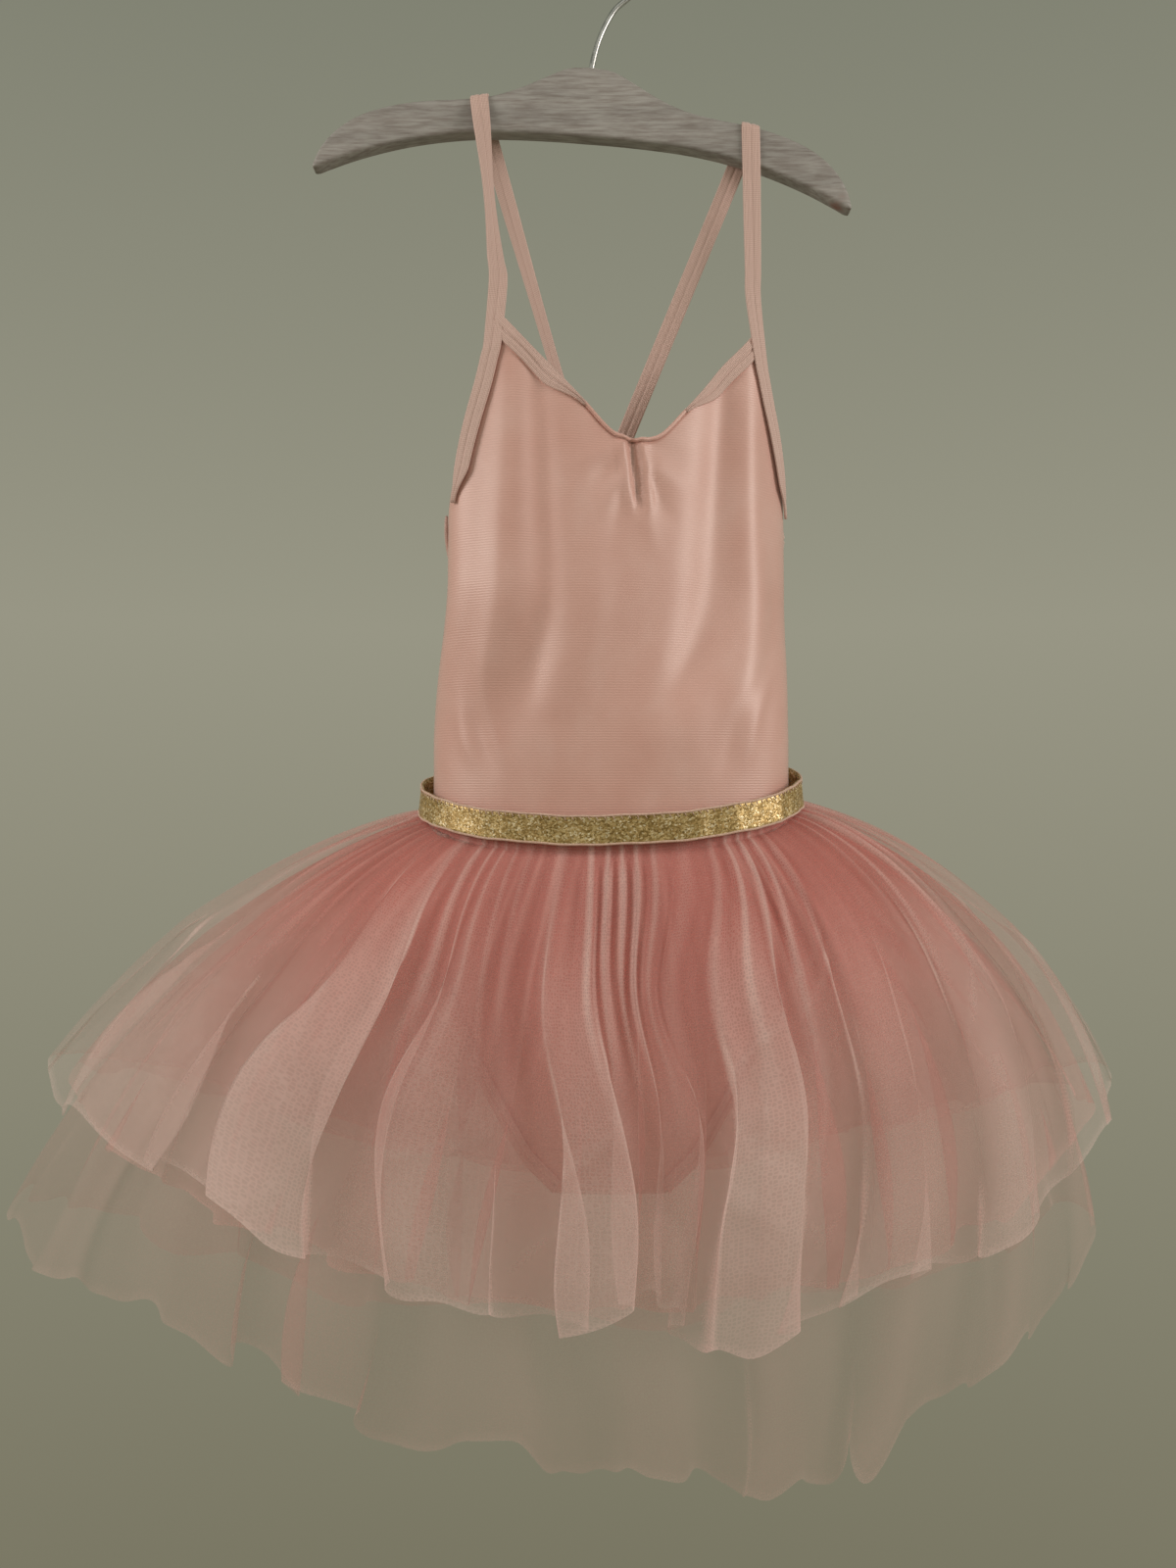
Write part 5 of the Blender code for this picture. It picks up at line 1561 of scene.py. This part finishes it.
# Each flake's random brightness, up to near white, is a painted glint.
gold = ramp(tree, pick.outputs[0], (0.0, "#8e7540"), (0.45, "#c2a56c"), (0.8, "#e2cc98"), (1.0, "#fff4d6"))
patch = ramp(tree, larger.outputs[0], (0.3, "#c9c0aa"), (0.7, "#ffffff"))
mixed = add_node(
    tree, "ShaderNodeMix", {"data_type": "RGBA", "blend_type": "MULTIPLY"}, n0=0.8, n6=gold, n7=patch,
)
tree.links.new(mixed.outputs[2], shader.inputs["Base Color"])
shader.inputs["Metallic"].default_value = 0.55
rough = add_node(tree, "ShaderNodeMapRange", None, n0=pick.outputs[1], n3=0.22, n4=0.6)
tree.links.new(rough.outputs[0], shader.inputs["Roughness"])
bump = add_node(tree, "ShaderNodeBump", None, Height=pick.outputs[2], Strength=0.6, Distance=0.0005)
tree.links.new(bump.outputs[0], shader.inputs["Normal"])

# %% Edge cord and sewing thread
# The band's selvedge cords and its ladder stitch: matt cream-pink thread with a little fuzz.
thread, tree, shader = new_material("spun polyester thread, cream pink")
place = add_node(tree, "ShaderNodeTexCoord")
twist = add_node(tree, "ShaderNodeTexNoise", None, Vector=place.outputs["Object"], Scale=900.0, Detail=2.0)
tree.links.new(
    ramp(tree, twist.outputs[0], (0.3, "#c9a592"), (0.7, "#e3c6b5")), shader.inputs["Base Color"],
)
shader.inputs["Roughness"].default_value = 0.7
shader.inputs["Sheen Weight"].default_value = 0.3

# %% Tulle net
# Soft nylon net. Its holes are about 1.2 mm across; they are drawn 1.6 mm across, because finer
# ones vanish at this distance. One thickness is a pale pink veil. Deep in the gathers light passes
# from layer to layer and comes back salmon; the net is painted a deeper tint there, painted shade
# and bounce light. The attribute of each sheet holds how dense (red) the net is and how pale
# (green) it is painted at each point, with its painted highlights.


def tulle_finish(name, deep, pale):
    """Net of one layer, between its deeper tint in the gathers, painted shade and bounce light, and its pale
    one in a single veil.
    """
    net, tree, shader = new_material(name)
    flat_place = add_node(tree, "ShaderNodeUVMap")
    # The attribute holds the net's density (red) and its paleness (green), which carries painted highlights
    # and painted shade
    density_and_painted_light = add_node(tree, "ShaderNodeAttribute", {"attribute_name": "density_and_painted_light"})
    parts = add_node(tree, "ShaderNodeSeparateColor", None, n0=density_and_painted_light.outputs["Color"])
    holes = add_node(
        tree, "ShaderNodeTexVoronoi", {"feature": "DISTANCE_TO_EDGE"},
        Vector=flat_place.outputs[0], Scale=620.0, Randomness=0.5,
    )
    lines = add_node(
        tree, "ShaderNodeMapRange", {"interpolation_type": "SMOOTHSTEP"},
        n0=holes.outputs[0], n1=0.04, n2=0.26, n3=1.22, n4=0.88,
    )
    alpha = add_node(
        tree, "ShaderNodeMath", {"operation": "MULTIPLY", "use_clamp": True},
        n0=parts.outputs[0], n1=lines.outputs[0],
    )
    cloudy = add_node(
        tree, "ShaderNodeTexNoise", None, Vector=flat_place.outputs[0], Scale=14.0, Detail=3.0,
    )
    shade = ramp(tree, cloudy.outputs[0], (0.3, "#efe9e8"), (0.7, "#ffffff"))
    # Low paleness gives the deeper tint, painted shade of the gathers; higher paleness, with its painted
    # highlights, moves to the pale veil
    tint = add_node(
        tree, "ShaderNodeMix", {"data_type": "RGBA"}, n0=parts.outputs[1], n6=linear(deep), n7=linear(pale)
    )
    colour = add_node(
        tree, "ShaderNodeMix", {"data_type": "RGBA", "blend_type": "MULTIPLY"},
        n0=1.0, n6=tint.outputs[2], n7=shade
    )
    tree.links.new(colour.outputs[2], shader.inputs["Base Color"])
    tree.links.new(alpha.outputs[0], shader.inputs["Alpha"])
    shader.inputs["Roughness"].default_value = 0.6
    shader.inputs["Sheen Weight"].default_value = 0.4
    shader.inputs["Sheen Roughness"].default_value = 0.35
    shader.inputs["Sheen Tint"].default_value = linear("#ffe2dc")
    return net


net_under = tulle_finish("soft nylon tulle, under layer, salmon pink", "#e07569", "#f0cec7")
net_middle = tulle_finish("soft nylon tulle, middle layer, salmon pink", "#e1776c", "#eec3bc")
net_top = tulle_finish("soft nylon tulle, top layer, pale pink", "#e58c82", "#f6dcd7")

# %% Limed wood
# Limed board: long pale grey streaks along the arm, a white film in the pores, and a worn
# red-brown spot at the right tip where the paint has rubbed off.
wood, tree, shader = new_material("limed softwood board, brushed white")
place = add_node(tree, "ShaderNodeTexCoord")
turned = add_node(
    tree, "ShaderNodeMapping", None, Vector=place.outputs["Object"], Rotation=(0, HANGER_TILT, 0),
    Scale=(9, 60, 95),
)
streaks = add_node(
    tree, "ShaderNodeTexNoise", None, Vector=turned.outputs[0], Scale=1.0, Detail=6.0, Roughness=0.65,
)
fine_map = add_node(
    tree, "ShaderNodeMapping", None, Vector=place.outputs["Object"], Rotation=(0, HANGER_TILT, 0),
    Scale=(60, 500, 620),
)
pores = add_node(
    tree, "ShaderNodeTexNoise", None, Vector=fine_map.outputs[0], Scale=1.0, Detail=3.0, Roughness=0.6,
)
tint = ramp(
    tree, streaks.outputs[0], (0.30, "#9a9795"), (0.46, "#a4a2a0"), (0.58, "#adaba9"), (0.75, "#b7b5b3"),
)
film = ramp(tree, pores.outputs[0], (0.35, "#b9aca6"), (0.62, "#ffffff"))
grain = add_node(
    tree, "ShaderNodeMix", {"data_type": "RGBA", "blend_type": "MULTIPLY"}, n0=0.65, n6=tint, n7=film,
)
worn_at = hanger_to_row(0.1435, 0, -0.0610)
away = add_node(
    tree, "ShaderNodeVectorMath", {"operation": "DISTANCE"}, n0=place.outputs["Object"],
    n1=tuple(worn_at),
)
ragged = add_node(
    tree, "ShaderNodeMath", {"operation": "MULTIPLY_ADD"}, n0=pores.outputs[0], n1=-0.006,
    n2=away.outputs["Value"],
)
worn = add_node(
    tree, "ShaderNodeMapRange", None, n0=ragged.outputs[0], n1=0.0005, n2=0.0035, n3=0.85, n4=0.0,
)
spot = add_node(
    tree, "ShaderNodeMix", {"data_type": "RGBA"}, n0=worn.outputs[0], n6=grain.outputs[2],
    n7=linear("#7d4a3b"),
)
tree.links.new(spot.outputs[2], shader.inputs["Base Color"])
bump = add_node(tree, "ShaderNodeBump", None, Height=pores.outputs[0], Strength=0.25, Distance=0.0006)
tree.links.new(bump.outputs[0], shader.inputs["Normal"])
shader.inputs["Roughness"].default_value = 0.62

# %% Plated wire
# Bright zinc on steel wire, drawn lengthways, with faint drawing lines and duller patches.
wire, tree, shader = new_material("zinc plated steel wire")
place = add_node(tree, "ShaderNodeTexCoord")
dull = add_node(tree, "ShaderNodeTexNoise", None, Vector=place.outputs["Object"], Scale=180.0, Detail=4.0)
tree.links.new(ramp(tree, dull.outputs[0], (0.3, "#a3a6a6"), (0.7, "#cfd2d1")), shader.inputs["Base Color"])
rough = add_node(tree, "ShaderNodeMapRange", None, n0=dull.outputs[0], n3=0.2, n4=0.45)
tree.links.new(rough.outputs[0], shader.inputs["Roughness"])
shader.inputs["Metallic"].default_value = 1.0
print("finishes", len(bpy.data.materials))

# %% [markdown]
# ## Putting it together
#
# Each piece takes its finish, rides on the one rigid body and stands for its solids. Each cloth
# states the size that it was cut to.

# %% Dress the pieces
dress_with(leotard_front, jersey, "jersey", "leotard_front")
dress_with(leotard_back, jersey, "jersey", "leotard_back")
dress_with(neck_roll, jersey, "jersey")
for node, piece in {**bindings, **straps}.items():
    dress_with(piece, elastic, "elastic", node)
for word in ("left", "right"):
    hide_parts("binding_armhole_" + word)
dress_with(waistband, glitter, "glitter_elastic", "waistband")
for piece in (ladder, *edge_cords):
    dress_with(piece, thread, "elastic")
dress_with(tulle_under, net_under, "tulle", "tulle_under")
dress_with(tulle_middle, net_middle, "tulle", "tulle_middle")
dress_with(tulle_top, net_top, "tulle", "tulle_top")
dress_with(hanger_arm_piece, wood, "limed_wood", "hanger_body")
dress_with(hook, wire, "plated_wire", "hanger_hook")

# %% Cut sizes
for piece in (leotard_front, leotard_back):
    print(piece.name, "closed area", round(area_of(piece), 4))
for piece in bindings.values():
    long = area_of(piece) / 2 / BINDING_WIDTH
    print(piece.name, "long", round(long, 3))
for piece in straps.values():
    print(piece.name, "long", round(area_of(piece) / 2 / STRAP_WIDTH, 3))
print("waistband", round(area_of(waistband) / 2 / BAND_HEIGHT, 3))
